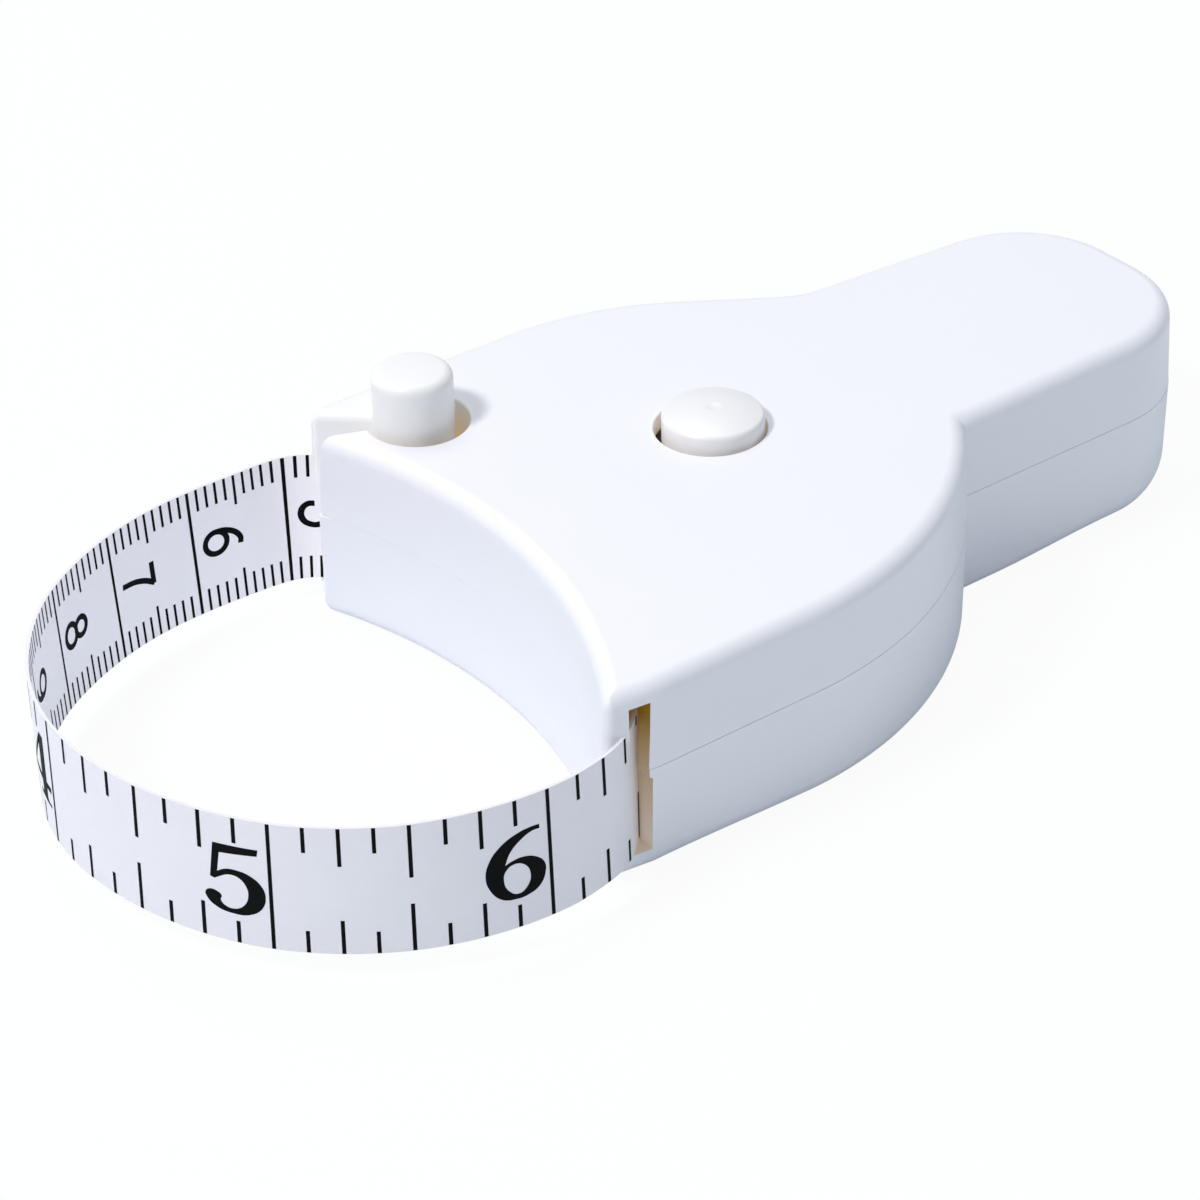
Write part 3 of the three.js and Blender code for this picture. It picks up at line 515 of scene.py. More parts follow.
def casing_outline():
    """Front arc, exit side, grip, waist, peg side and the peg horn's end, joined by corner arcs."""
    ends = [angle_of(tip - FRONT_CENTRE) for tip in (PEG_TIP, EXIT_TIP)]
    front = arc(FRONT_CENTRE, FRONT_RADIUS, *ends)
    side_x = GRIP_RIGHT[0] + GRIP_TURN
    rise = math.sqrt(SHOULDER_RADIUS ** 2 - (side_x - SHOULDER[0]) ** 2)
    crease = np.array([side_x, SHOULDER[1] + rise])
    lean = np.array([EXIT_WALL, EXIT_TIP[1] + EXIT_LEAN_LENGTH])
    exit_side = chain(
        line(EXIT_TIP, lean), line(lean, (EXIT_WALL, SHOULDER[1])),
        arc(SHOULDER, SHOULDER_RADIUS, 0, angle_of(crease - SHOULDER)))
    grip = chain(
        line(crease, GRIP_RIGHT + (GRIP_TURN, 0))[1:], arc(GRIP_RIGHT, GRIP_TURN, 0, 90),
        line(GRIP_RIGHT + (0, GRIP_TURN), GRIP_LEFT + (0, GRIP_TURN)),
        arc(GRIP_LEFT, GRIP_TURN, 90, 180 - GRIP_TAPER))
    slope_out = unit(90 + PEG_SIDE_SLOPE)
    slope_end = PEG_SIDE + PEG_SIDE_RADIUS * slope_out
    waist = corner_centre(grip[-1], unit(180 - GRIP_TAPER), slope_end, slope_out, WAIST_TURN)
    bend = arc(waist, WAIST_TURN, -GRIP_TAPER, PEG_SIDE_SLOPE - 90, 0.3)
    peg_side = chain(
        line(grip[-1], bend[0])[1:], bend, line(bend[-1], slope_end),
        arc(PEG_SIDE, PEG_SIDE_RADIUS, 90 + PEG_SIDE_SLOPE, 180), line((PEG_WALL, PEG_SIDE[1]), REAR_TIP))
    front, exit_corner, exit_side = round_between(front, exit_side, EXIT_ROUND)
    peg_side, rear_corner, tip_face = round_between(peg_side, line(REAR_TIP, PEG_TIP, 0.5), REAR_ROUND)
    tip_face, front_corner, front = round_between(tip_face, front, FRONT_ROUND)
    return np.vstack([front, exit_corner, exit_side, grip, peg_side, rear_corner, tip_face, front_corner])


def mitres(points):
    """Inward mitre at each point of a closed run: the sum of both edges' normals over 1 + their cosine."""
    after = np.roll(points, -1, 0) - points
    after /= np.linalg.norm(after, axis=1)[:, None]
    before = np.roll(after, 1, 0)
    return -right_of(before + after) / (1 + (before * after).sum(1))[:, None]


OUTLINE = casing_outline()
INWARD = mitres(OUTLINE)


def distance_to_outline(points):
    """Least distance from each point to the outline's edges."""
    edge = np.roll(OUTLINE, -1, 0) - OUTLINE
    away = points[:, None] - OUTLINE[None]
    share = np.clip((away * edge).sum(-1) / (edge ** 2).sum(-1), 0, 1)
    return np.linalg.norm(away - share[..., None] * edge, axis=-1).min(1)


def inset(depth):
    """The outline moved inwards. Points that cross at a tight corner go on the straight sides to its tip."""
    slack, farthest, count = 1e-4, 3.0, len(OUTLINE)
    depth = np.broadcast_to(depth, count)
    points = OUTLINE + INWARD * depth[:, None]
    lost = distance_to_outline(points) < depth - slack
    lost |= np.roll(lost, 1) | np.roll(lost, -1)
    kept = np.flatnonzero(~lost)
    for first, last in zip(kept, np.roll(kept, -1)):
        missing = (last - first) % count - 1
        if missing < 1:
            continue
        a, b = points[first], points[last]
        into, out, gap = a - points[first - 1], b - points[(last + 1) % count], b - a
        cross = into[0] * out[1] - into[1] * out[0]
        share = (gap[0] * out[1] - gap[1] * out[0]) / cross if abs(cross) > 1e-9 else 0.0
        tip = a + into * share
        if np.linalg.norm(tip - (a + b) / 2) > farthest:
            tip = (a + b) / 2
        turn = np.linspace(0, 2, missing + 2)[1:-1, None]
        spread = np.where(turn < 1, a + (tip - a) * turn, tip + (b - tip) * (turn - 1))
        points[(first + 1 + np.arange(missing)) % count] = spread
    return points


def bottom_radius():
    """Edge radius along the underside, growing towards the grip's end and the exit horn."""
    x, y = OUTLINE.T
    usual, grip, grip_end, horn = 1.8, 1.0, 1.5, 1.0
    return (usual + grip * soft_step((y - 24) / 16) + grip_end * soft_step((y - 40) / 13)
            + horn * soft_step((-y - 10) / 20) * soft_step((x - 24) / 5))


def seam_share():
    """Share of the seam's step and rounding: nearly none on the front, most at its peg-side corner."""
    front_end, front_share, corner_share, reach = -21.5, 0.1, 4.0, 1.4
    on_front = np.abs(np.linalg.norm(OUTLINE - FRONT_CENTRE, axis=1) - FRONT_RADIUS) < 0.05
    usual = np.where(on_front & (OUTLINE[:, 0] > front_end), front_share, 1.0)
    from_corner = np.linalg.norm(OUTLINE - PEG_TIP, axis=1)
    return usual + corner_share * soft_step(1.6 - from_corner / reach)


SEAM_ROUND, TOP_ROUND = 0.03, 1.6
SMALL_QUARTER, QUARTER = sweep((0, 0), 1.0, 0, 90, 3), sweep((0, 0), 1.0, 0, 90, 12)


def upper_rings():
    """Profile of the top half: seam edge, drafted wall, quarter round, flat top."""
    small, step = SEAM_ROUND * seam_share(), SHELL_STEP * seam_share()
    rings = [(step + small * (1 - s), PARTING + SEAM + small * (1 - c)) for c, s in SMALL_QUARTER]
    rings += [(step + DRAFT + TOP_ROUND * (1 - c), HEIGHT - TOP_ROUND * (1 - s)) for c, s in QUARTER]
    return [at_height(inset(depth), z) for depth, z in rings]


def lower_rings():
    """Profile of the bottom half: flat underside, quarter round, drafted wall, seam edge."""
    radius, small = bottom_radius(), SEAM_ROUND * seam_share()
    rings = [(DRAFT + radius * (1 - c), radius * (1 - s)) for c, s in QUARTER[::-1]]
    rings += [(small * (1 - c), PARTING - small * (1 - s)) for c, s in SMALL_QUARTER]
    return [at_height(inset(depth), z) for depth, z in rings]


# Tape route

LOOP_CENTRE = np.array([2.145, -41.976])
LOOP_HALF_WIDTH, LOOP_DROP, LOOP_REACH = 29.4515, 15.8, 29.5
LOOP_SHARES = np.array([
    (-0.963, 0.747), (-0.997, 0.418), (-1, 0.089), (-0.986, -0.119), (-0.946, -0.285), (-0.888, -0.434),
    (-0.814, -0.576), (-0.604, -0.801), (-0.339, -0.953), (-0.112, -0.997), (0.217, -0.966),
    (0.427, -0.892), (0.617, -0.78), (0.769, -0.634), (0.885, -0.468), (0.963, -0.275), (1, -0.061),
    (1, 0.089), (0.986, 0.297)])
REAR_EDGE = np.array([EXIT_WALL, EXIT_TIP[1] + 4.75])
LIP_EDGE = np.array([EXIT_WALL - 1.15, EXIT_TIP[1] + 2.75])
LIP_POINT = LIP_EDGE + unit(23) * HALF_CHANNEL
RUN_RADIUS = 20.526 + TAPE_THICK + 0.3
EXIT_BEND = [(31.35, -39.2), (30.95, -36.6), LIP_POINT, (27.9, -31.35), (26.3, -28.6)]
LIP_READING = 161.9


def smooth_run(points, fine=0.1, spacing=0.4, spread=0.9):
    """Averages a run with a bell curve, its ends kept straight by mirrored points, and spaces it evenly."""
    along = lengths(points)
    run = points_at(np.arange(0, along[-1], fine), points, along)
    weights = bell(fine, spread)
    reach = len(weights) // 2
    padded = np.vstack([2 * run[0] - run[reach:0:-1], run, 2 * run[-1] - run[-2:-reach - 2:-1]])
    run = np.column_stack([np.convolve(column, weights, "valid") for column in padded.T])
    along = lengths(run)
    return points_at(np.linspace(0, along[-1], round(along[-1] / spacing) + 1), run, along)


def spline(points, steps=24):
    """Cubic through the points with slopes from their neighbours, by chord length."""
    along = lengths(points)
    slope = np.gradient(points, along, axis=0)
    t = np.linspace(0, 1, steps + 1)[1:, None]
    out = [points[:1]]
    for i, span in enumerate(np.diff(along)):
        out.append((2 * t ** 3 - 3 * t ** 2 + 1) * points[i] + (t ** 3 - 2 * t ** 2 + t) * span * slope[i]
                   + (3 * t ** 2 - 2 * t ** 3) * points[i + 1] + (t ** 3 - t ** 2) * span * slope[i + 1])
    return np.vstack(out)


def tape_route():
    """From the peg's side round the loop, through the exit slot and on to the coil's tangent."""
    lead = [PEG + unit(MOUTH_ANGLE) * out for out in (PEG_RADIUS + 0.3, 2 * PEG_RADIUS - 0.7)]
    tall = np.where(LOOP_SHARES[:, 1:] > 0, LOOP_DROP, LOOP_REACH)
    loop = LOOP_CENTRE + LOOP_SHARES * np.hstack([LOOP_HALF_WIDTH + 0 * tall, tall])
    last, run_in, step = np.array(EXIT_BEND[-1]), 4.0, 6.0
    touch = angle_of(last) + math.degrees(math.acos(RUN_RADIUS / np.linalg.norm(last)))
    end = RUN_RADIUS * unit(touch)
    start = end - unit(touch + 90) * (np.linalg.norm(end - last) - run_in)
    return smooth_run(spline(np.vstack([lead, loop[:-1], EXIT_BEND, line(start, end, step)])))


ROUTE = tape_route()
STEP = float(np.linalg.norm(ROUTE[1] - ROUTE[0]))
ALONG = np.arange(len(ROUTE)) * STEP
EXIT_AT = ALONG[np.linalg.norm(ROUTE - LIP_POINT, axis=1).argmin()]
READING = ALONG - EXIT_AT + LIP_READING
ROUTE_OUT = right_of(ways(ROUTE))

# Reading, how far the lower and upper edges stand out from the route, and the scale's slip along it
EDGE_ROWS = np.array([
    (41.2, 0, 0, 0), (44, 0.9, 1.4, 0), (47, 1.05, 2.6, -0.1), (50, 0.2, 1.75, -0.5),
    (55, -0.05, 1.22, -0.57), (62, 0.03, 1.25, -0.37), (70, 0.06, 1.14, -0.43), (75, 0.02, 1, -0.58),
    (80, -0.03, 0.73, -0.86), (86, 0, 0.57, -1.2), (92, 0, 0.35, -1.4), (98.4, -0.02, 0.1, -1.4),
    (105, 0.08, 0.02, -1.1), (111, 0.1, -0.03, -1), (117.5, 0.2, -0.05, -0.56), (124, 0.33, 0, -0.05),
    (127, 0.35, 0.05, -0.15), (133.4, 0.48, 0.15, -0.45), (139.7, 0.5, 0.14, -0.88),
    (146, 0.57, 0.05, -1.08), (152.4, 0.59, 0.03, -1.05), (158.8, 0.55, 0.05, -0.97),
    (161.9, 0.25, -0.15, -0.8), (165, 0.05, -0.05, -0.4), (168, 0, 0, 0)])


def eased(values, spread=1.4):
    """A table column along the route, averaged with a bell curve so that the band has no kinks."""
    weights = bell(STEP, spread)
    padded = np.pad(np.interp(READING, EDGE_ROWS[:, 0], values), len(weights) // 2, mode="edge")
    return np.convolve(padded, weights, "valid")


LOWER_OUT, UPPER_OUT, SLIP = (eased(EDGE_ROWS[:, k]) for k in (1, 2, 3))


def on_tape(reading, up, side):
    """A point of the band: its route at a reading, raised by up and moved outwards by the lean and side."""
    share = up / TAPE_WIDTH
    low, high = np.interp(reading, READING, LOWER_OUT), np.interp(reading, READING, UPPER_OUT)
    stand = low * (1 - share) + high * share + side
    base = COIL_BOTTOM - LOOP_SAG * (1 - soft_step(((reading - READING[0]) / EXIT_AT - 0.5) / 0.5))
    reading = reading + np.interp(reading, READING, SLIP)
    x, y, x_out, y_out = (np.interp(reading, READING, column) for column in (*ROUTE.T, *ROUTE_OUT.T))
    return np.stack([x + x_out * stand, y + y_out * stand, base + up], -1)


def tape_loop():
    """The band: a thin closed section carried along the route, with its flat size as UV."""
    half, ups = TAPE_THICK / 2, np.linspace(0, TAPE_WIDTH, 15)
    up, side = np.append(ups, ups[::-1]), np.repeat([half, -half], len(ups))
    grid = on_tape(READING[:, None] + 0 * up, up + 0 * READING[:, None], side)
    rows, columns = grid.shape[:2]
    piece = make("tape_band", grid.reshape(-1, 3), skin_faces(rows, columns), OUTER_CLOTH)
    mesh = piece.data
    mesh.materials.append(INNER_CLOTH)
    column = np.append(np.tile(np.arange(columns), rows - 1), [0, 0])
    mesh.polygons.foreach_set("material_index", (column >= len(ups)).astype(int))
    corner = np.zeros(len(mesh.loops), int)
    mesh.loops.foreach_get("vertex_index", corner)
    flat = np.column_stack([ALONG[corner // columns], up[corner % columns]])
    mesh.uv_layers.new(name="flat").data.foreach_set("uv", flat.ravel())
    mesh.set_sharp_from_angle(angle=math.radians(50))
    return piece


# Figures and scale marks, printed on both faces

FIGURES = {
    "2": [[(0.25, 4.9), (0.35, 6), (1.3, 6.95), (2.7, 7.15), (4.1, 6.8), (5, 5.9), (5.1, 4.9), (4.5, 3.8),
           (3.2, 2.7), (1.9, 1.75), (1.35, 1.2, 1), (3.2, 1.35), (4.3, 1.15), (4.75, 1.5), (4.95, 2.2, 1),
           (5.3, 2.2, 1), (5.15, 0.9), (4.4, 0), (3.3, 0.05), (2, 0.35), (1, 0.25), (0.35, 0, 1), (0, 0, 1),
           (0.25, 1.2), (1.4, 2.4), (2.7, 3.5), (3.4, 4.6), (3.45, 5.6), (3, 6.4), (2.3, 6.65), (1.75, 6.3),
           (1.9, 5.6), (1.8, 4.9), (1.1, 4.45)]],
    "3": [[(0.4, 5.5), (0.55, 6.3), (1.4, 6.95), (2.6, 7.15), (3.9, 6.9), (4.75, 6.2), (4.85, 5.25),
           (4.4, 4.4), (3.55, 3.92, 1), (4.7, 3.45), (5.35, 2.6), (5.35, 1.7), (4.85, 0.75), (3.8, 0.12),
           (2.5, 0), (1.1, 0.22), (0.2, 0.95), (0.05, 1.6), (0.4, 2.05), (1.05, 2.05), (1.5, 1.65),
           (1.4, 1.1), (1.75, 0.65), (2.55, 0.5), (3.4, 0.95), (3.75, 1.9), (3.5, 2.95), (2.75, 3.55),
           (1.85, 3.7, 1), (1.85, 4.02, 1), (2.7, 4.25), (3.25, 4.85), (3.35, 5.6), (3, 6.35), (2.35, 6.65),
           (1.75, 6.35), (1.85, 5.7), (1.7, 5.1), (1.15, 4.85), (0.6, 5.05)]],
    "4": [[(3.55, 7.1, 1), (4.6, 7.1, 1), (4.6, 2.35, 1), (5.75, 2.35, 1), (5.75, 1.7, 1), (4.6, 1.7, 1),
           (4.6, 0.6), (4.75, 0.4), (5.5, 0.32, 1), (5.5, 0, 1), (2.2, 0, 1), (2.2, 0.32, 1), (3, 0.4),
           (3.15, 0.6), (3.15, 1.7, 1), (0, 1.7, 1), (0, 2.1, 1)],
          [(0.75, 2.35, 1), (3.15, 5.7, 1), (3.15, 2.35, 1)]],
    "5": [[(0.93, 7.04, 1), (5.07, 7.11, 1), (4.96, 6.45, 1), (1.48, 6.12, 1), (1.22, 4.1, 1), (1.9, 4.5),
           (2.79, 4.62), (4.2, 4.29), (5.25, 3.4), (5.57, 2.4), (5.2, 1.07), (4.05, 0.2), (2.43, 0),
           (1, 0.3), (0.18, 1), (0.02, 1.6), (0.4, 2), (1.05, 1.98), (1.5, 1.6), (1.4, 1.15), (1.75, 0.68),
           (2.6, 0.52), (3.5, 1.05), (3.95, 2.14), (3.8, 3.1), (3.14, 3.86), (2.25, 4), (1.5, 3.65),
           (0.95, 3.28, 1), (0.54, 3.4, 1)]],
    "6": [[(5.25, 6.8, 1), (5.25, 6.38, 1), (4.54, 6.38), (3.39, 5.85), (2.35, 4.85), (1.86, 3.72, 1),
           (2.55, 3.98), (3.57, 4.08), (4.82, 3.62), (5.6, 2.7), (5.64, 1.79), (5.05, 0.6), (3.93, 0.06),
           (2.68, 0), (1.43, 0.36), (0.4, 1.6), (0.04, 3.04), (0.36, 4.4), (1.43, 5.75), (3.04, 6.6),
           (4.4, 6.83)],
          [(1.68, 2.3), (1.95, 3.2), (2.75, 3.6), (3.7, 3.2), (4.18, 2.07), (3.86, 1), (3.04, 0.48),
           (2.14, 1)]],
}


def figure_mesh(loops):
    """Fills smooth closed outlines, corners where a point is marked, into flat triangles."""
    data = bpy.data.curves.new("figure", "CURVE")
    data.dimensions, data.fill_mode, data.resolution_u = "2D", "BOTH", 8
    for points in loops:
        run = data.splines.new("BEZIER")
        run.bezier_points.add(len(points) - 1)
        for knot, (x, y, *corner) in zip(run.bezier_points, points):
            knot.co = (x, y, 0.0)
            knot.handle_left_type = knot.handle_right_type = "VECTOR" if corner else "AUTO"
        run.use_cyclic_u = True
    piece = bpy.data.objects.new("flat", data)
    scene.collection.objects.link(piece)
    mesh = bpy.data.meshes.new_from_object(piece.evaluated_get(bpy.context.evaluated_depsgraph_get()))
    bpy.data.objects.remove(piece)
    work = bmesh.new()
    work.from_mesh(mesh)
    bmesh.ops.triangulate(work, faces=work.faces)
    bmesh.ops.remove_doubles(work, verts=work.verts, dist=1e-5)
    return arrays(work)


def arrays(work):
    """The flat points and the faces of a work mesh, which is then freed."""
    work.verts.index_update()
    points = np.array([v.co[:2] for v in work.verts])
    faces = np.array([[v.index for v in f.verts] for f in work.faces])
    work.free()
    return points, faces


def sliced(points, faces, spacing=0.35):
    """Cuts flat triangles along lines of equal x, so that they can bend with the tape."""
    work = bmesh.new()
    verts = [work.verts.new((x, y, 0.0)) for x, y in points]
    for face in faces:
        work.faces.new([verts[i] for i in face])
    for x in np.arange(points[:, 0].min() + spacing, points[:, 0].max(), spacing):
        parts = work.verts[:] + work.edges[:] + work.faces[:]
        bmesh.ops.bisect_plane(work, geom=parts, plane_co=(x, 0, 0), plane_no=(1, 0, 0))
    bmesh.ops.triangulate(work, faces=work.faces)
    return arrays(work)


def ring(x, y, wide, tall):
    """Points of an upright oval, (x + wide cos t, y + tall sin t)."""
    return sweep((x, y), (wide, tall), 0, 360, 39)


def curve(*points):
    return spline(np.array(points, float), 6)


# Centre lines of the plain figures, in a box of this size
FIGURE_WIDE, FIGURE_TALL, FIGURE_GAP = 2.75, 4.3, 0.45
SIX = [ring(1.375, 1.42, 1.12, 1.17),
       curve((0.255, 1.42), (0.36, 2.3), (0.68, 3.1), (1.2, 3.75), (1.75, 4.05), (2.3, 4.0))]
STROKES = {
    "0": [ring(1.375, 2.15, 1.12, 1.9)],
    "1": [curve((0.6, 3.3), (1.15, 3.75), (1.45, 4.05)), curve((1.45, 4.05), (1.45, 0.25))],
    "2": [curve((0.35, 3.2), (0.6, 3.75), (1.35, 4.05), (2.1, 3.75), (2.35, 3.0), (2.0, 2.2), (1.1, 1.2),
                (0.35, 0.25)), curve((0.15, 0.25), (2.55, 0.25))],
    "3": [curve((0.4, 3.5), (0.75, 3.9), (1.35, 4.05), (2.05, 3.75), (2.25, 3.1), (1.95, 2.5), (1.2, 2.3)),
          curve((1.2, 2.3), (2.1, 2.05), (2.5, 1.35), (2.15, 0.6), (1.35, 0.25), (0.6, 0.4), (0.25, 0.9))],
    "4": [curve((1.9, 0.0), (1.9, 4.05)), curve((1.9, 4.05), (0.25, 1.3)), curve((0.05, 1.3), (2.65, 1.3))],
    "5": [curve((2.3, 4.05), (0.6, 4.05)), curve((0.65, 4.2), (0.45, 2.25)),
          curve((0.45, 2.35), (0.85, 2.6), (1.4, 2.7), (2.15, 2.35), (2.5, 1.5), (2.15, 0.6), (1.35, 0.25),
                (0.6, 0.45), (0.25, 0.9), (0.22, 1.5))],
    "6": SIX,
    "7": [curve((0.25, 4.05), (2.55, 4.05)), curve((2.5, 4.15), (1.85, 3.1), (1.4, 1.9), (1.15, 0.1))],
    "8": [ring(1.375, 3.14, 0.9, 0.92), ring(1.375, 1.26, 1.12, 1.02)],
    "9": [(FIGURE_WIDE, FIGURE_TALL) - run for run in SIX],
}


def stroke(run, half):
    """A band of even width along a centre line: the run plus and minus half its left normal."""
    way = ways(run)
    if np.allclose(run[0], run[-1]):
        across_end = run[1] - run[-2]
        way[0] = way[-1] = across_end / np.linalg.norm(across_end)
    left = -half * right_of(way)
    count = len(run)
    step = np.arange(count - 1)
    faces = np.vstack([np.column_stack([step, step + count, step + 1]),
                       np.column_stack([step + 1, step + count, step + count + 1])])
    return np.vstack([run + left, run - left]), faces


class Print:
    """Flat marks in tape readings and heights, laid just over one face of the tape."""

    def __init__(self, side):
        self.side, self.points, self.faces, self.count = side, [], [], 0

    def add(self, points, faces):
        self.points.append(points)
        self.faces.append(np.asarray(faces) + self.count)
        self.count += len(points)

    def bar(self, reading, low, high, width):
        x0, x1 = reading - width / 2, reading + width / 2
        self.add(np.array([(x0, low), (x1, low), (x1, high), (x0, high)]), [(0, 1, 2), (0, 2, 3)])

    def edge_bars(self, reading, upper, lower, width):
        """A tick on each edge of the tape."""
        self.bar(reading, TAPE_WIDTH - upper, TAPE_WIDTH - MARGIN, width)
        self.bar(reading, MARGIN, lower, width)

    def piece(self, name):
        """The marks as one mesh, each face turned away from the tape."""
        flat, faces = np.vstack(self.points), np.vstack(self.faces)
        place = on_tape(*flat.T, self.side * (TAPE_THICK / 2 + INK_OVER))
        a, b, c = (flat[faces[:, k]] for k in range(3))
        area = (b - a)[:, 0] * (c - a)[:, 1] - (b - a)[:, 1] * (c - a)[:, 0]
        turn = np.sign(area) * self.side < 0
        faces[turn] = faces[turn][:, ::-1]
        return make(name, place, faces, INK)


INK_OVER, MARGIN = 0.012, 0.03
INCH, EIGHTH, INCH_BAR = 25.4, 3.175, 0.37
UPPER_TICKS, LOWER_TICKS = (2.6, 3.9, 5.4), (2.3, 3.5, 4.9)
INCH_FIGURE_UP, INCH_FIGURE_GAP = 3.0, 0.5
CENTIMETRE, CENTIMETRE_BAR, MILLIMETRE_BAR, FIVE_TICK = 10, 0.33, 0.28, 3.1
UPPER_MILLIMETRE, LOWER_MILLIMETRE = 2.3, 2.35
HALF_STROKE, FIGURE_MIDDLE, FIGURE_BEFORE = 0.29, 6.75, 1.0
READ_LOW, READ_HIGH = READING[0] + 0.4, 165.6
# The tick inside the slot shows only the top end of its upper half
SLOT_READING, HIDDEN_TICK = 164.2, 1.0


def print_inches():
    """Outer face: a line each inch, eighths on both edges, and bold figures before their line."""
    marks = Print(1)
    for eighth in range(int(READ_LOW / EIGHTH) + 1, int(READ_HIGH / EIGHTH) + 1):
        reading = eighth * EIGHTH
        if eighth % 8 == 0:
            marks.bar(reading, MARGIN, TAPE_WIDTH - MARGIN, INCH_BAR)
            continue
        kind = 2 if eighth % 4 == 0 else 1 if eighth % 2 == 0 else 0
        upper = HIDDEN_TICK if reading > SLOT_READING else UPPER_TICKS[kind]
        marks.edge_bars(reading, upper, LOWER_TICKS[kind], INCH_BAR)
    for text, loops in FIGURES.items():
        points, faces = sliced(*figure_mesh(loops))
        points += (int(text) * INCH - INCH_FIGURE_GAP - points[:, 0].max(), INCH_FIGURE_UP)
        if points[:, 0].min() > READ_LOW:
            marks.add(points, faces)
    return marks.piece("print_inches")


def print_centimetres():
    """Inner face: a line each centimetre, millimetres on both edges, and figures turned a quarter."""
    marks = Print(-1)
    for reading in range(int(READ_LOW) + 1, int(READ_HIGH) + 1):
        if reading % CENTIMETRE == 0:
            marks.bar(reading, MARGIN, TAPE_WIDTH - MARGIN, CENTIMETRE_BAR)
        elif reading % 5 == 0:
            marks.edge_bars(reading, FIVE_TICK, FIVE_TICK, MILLIMETRE_BAR)
        else:
            marks.edge_bars(reading, UPPER_MILLIMETRE, LOWER_MILLIMETRE, MILLIMETRE_BAR)
    pitch = FIGURE_WIDE + FIGURE_GAP
    for number in range(math.ceil(READ_LOW / CENTIMETRE), int(READ_HIGH / CENTIMETRE) + 1):
        text = str(number)
        for place, figure in enumerate(text):
            left = (pitch * len(text) - FIGURE_GAP) / 2 - place * pitch
            for run in STROKES[figure]:
                points, faces = stroke(run, HALF_STROKE)
                flat = np.column_stack([-points[:, 1], left - points[:, 0]])
                flat += (number * CENTIMETRE - FIGURE_BEFORE, FIGURE_MIDDLE)
                if flat[:, 0].min() > READ_LOW and flat[:, 0].max() < READ_HIGH:
                    marks.add(flat, faces)
    return marks.piece("print_centimetres")


# Openings in the casing

CHANNEL_FRONT = -36.4


def exit_channel(profile, front):
    """The tape's way through the exit horn, open to the wall, from (height, step of its rear edge) pairs."""
    way_in, way_out, rear_gap, past, foot = 171.5, 159.4, 0.12, 2.0, 1.8
    near = ROUTE[(READING > way_out) & (READING < way_in)]
    right = right_of(ways(near))
    inner, outer = near - HALF_CHANNEL * right, near + (TAPE_THICK / 2 + rear_gap) * right
    rear_y, far = REAR_EDGE[1], EXIT_WALL + past
    inner, behind = inner[inner[:, 1] > front], outer[outer[:, 1] > rear_y + 0.4][::-1]
    rings = []
    for z, step in profile:
        rear = [(EXIT_WALL - foot, rear_y + step), (far, rear_y + step)]
        rings.append(at_height(np.vstack([(far, inner[0, 1]), inner, behind, rear]), z))
    return loft("cutter", rings, SLOT)


def exit_guide(low, high, skin=0.6):
    """The solid behind the slot's rear edge, up to a skin's thickness from the outer face."""
    left, right, back = 26.4, EXIT_WALL - skin, REAR_EDGE[1]
    front, rear = back - 1, back + 3.2
    return prism([(left, front), (right, front), (right, rear), (left, rear)], low, high, SLOT)


def mouth(narrow_top, narrow_foot):
    """The slot between the horn's cheeks. It widens outwards, with round corners and top edges.

    The near cheek stands out by a share that changes evenly from the top to the foot.
    """
    way, side = unit(MOUTH_ANGLE), unit(MOUTH_ANGLE + 90)
    foot, flare, reach, far_edge, near_edge = 2.05, 0.45, 9.4, 1.0, 0.5
    far_half, near_half, widening, beyond, last = 0.85, 0.4, 0.15, 2.0, 16.0
    bend = np.radians(np.linspace(0, 80, 9))[1:]
    far = np.linspace(0, reach, 24)
    runs = []
    for half in (far_half + widening * far, near_half + widening * far):
        rounded = half[-1] + widening * flare * np.sin(bend) + flare * (1 - np.cos(bend))
        runs.append(np.concatenate([half, rounded, rounded[-1:] + beyond])[:, None])
    far = np.concatenate([far, reach + flare * np.sin(bend), [last]])[:, None]

    def drawn_back(z, edge):
        """How far a cheek lies back at a height: edge - sqrt(edge^2 - up^2) on its top round."""
        up = min(max(z - HEIGHT + edge, 0.0), edge)
        return edge - math.sqrt(edge * edge - up * up)

    levels = {round(HEIGHT - edge * (1 - math.sin(t)), 4)
              for edge in (far_edge, near_edge) for t in np.radians(np.arange(0, 91, 15))}
    rings = []
    for z in (foot, *sorted(levels), HEIGHT + 1):
        narrow = np.interp(z, (foot, HEIGHT), (narrow_foot, narrow_top)) * np.minimum(far / reach, 1)
        left = SOCKET + way * far - side * (runs[0] + drawn_back(z, far_edge))
        right = SOCKET + way * far + side * (runs[1] + drawn_back(z, near_edge) - narrow)
        rings.append(at_height(np.vstack([left, right[::-1]]), z))
    return loft("cutter", rings, CHEEK_PAINTED_GLOW)


def hole_cutter(radius, edge, low, material, place=(0, 0)):
    """A round hole from a height upwards, with a small round at its mouth."""
    rim = sweep((radius + edge, HEIGHT - edge), edge, 180, 90, 6)
    profile = np.vstack([[(0, low), (radius, low)], rim, [(radius + edge, HEIGHT + 2), (0, HEIGHT + 2)]])
    return turned("cutter", profile, material, place)


def socket_cutter():
    return hole_cutter(SOCKET_RADIUS, 0.3, FLOOR, WELL, SOCKET)


def post(radius, low, high, place, material=INSIDE_PAINTED_SHADE, sides=48):
    """A plain round bar."""
    profile = [(0, low), (radius, low), (radius, high), (0, high)]
    return turned("cutter", profile, material, place, sides)


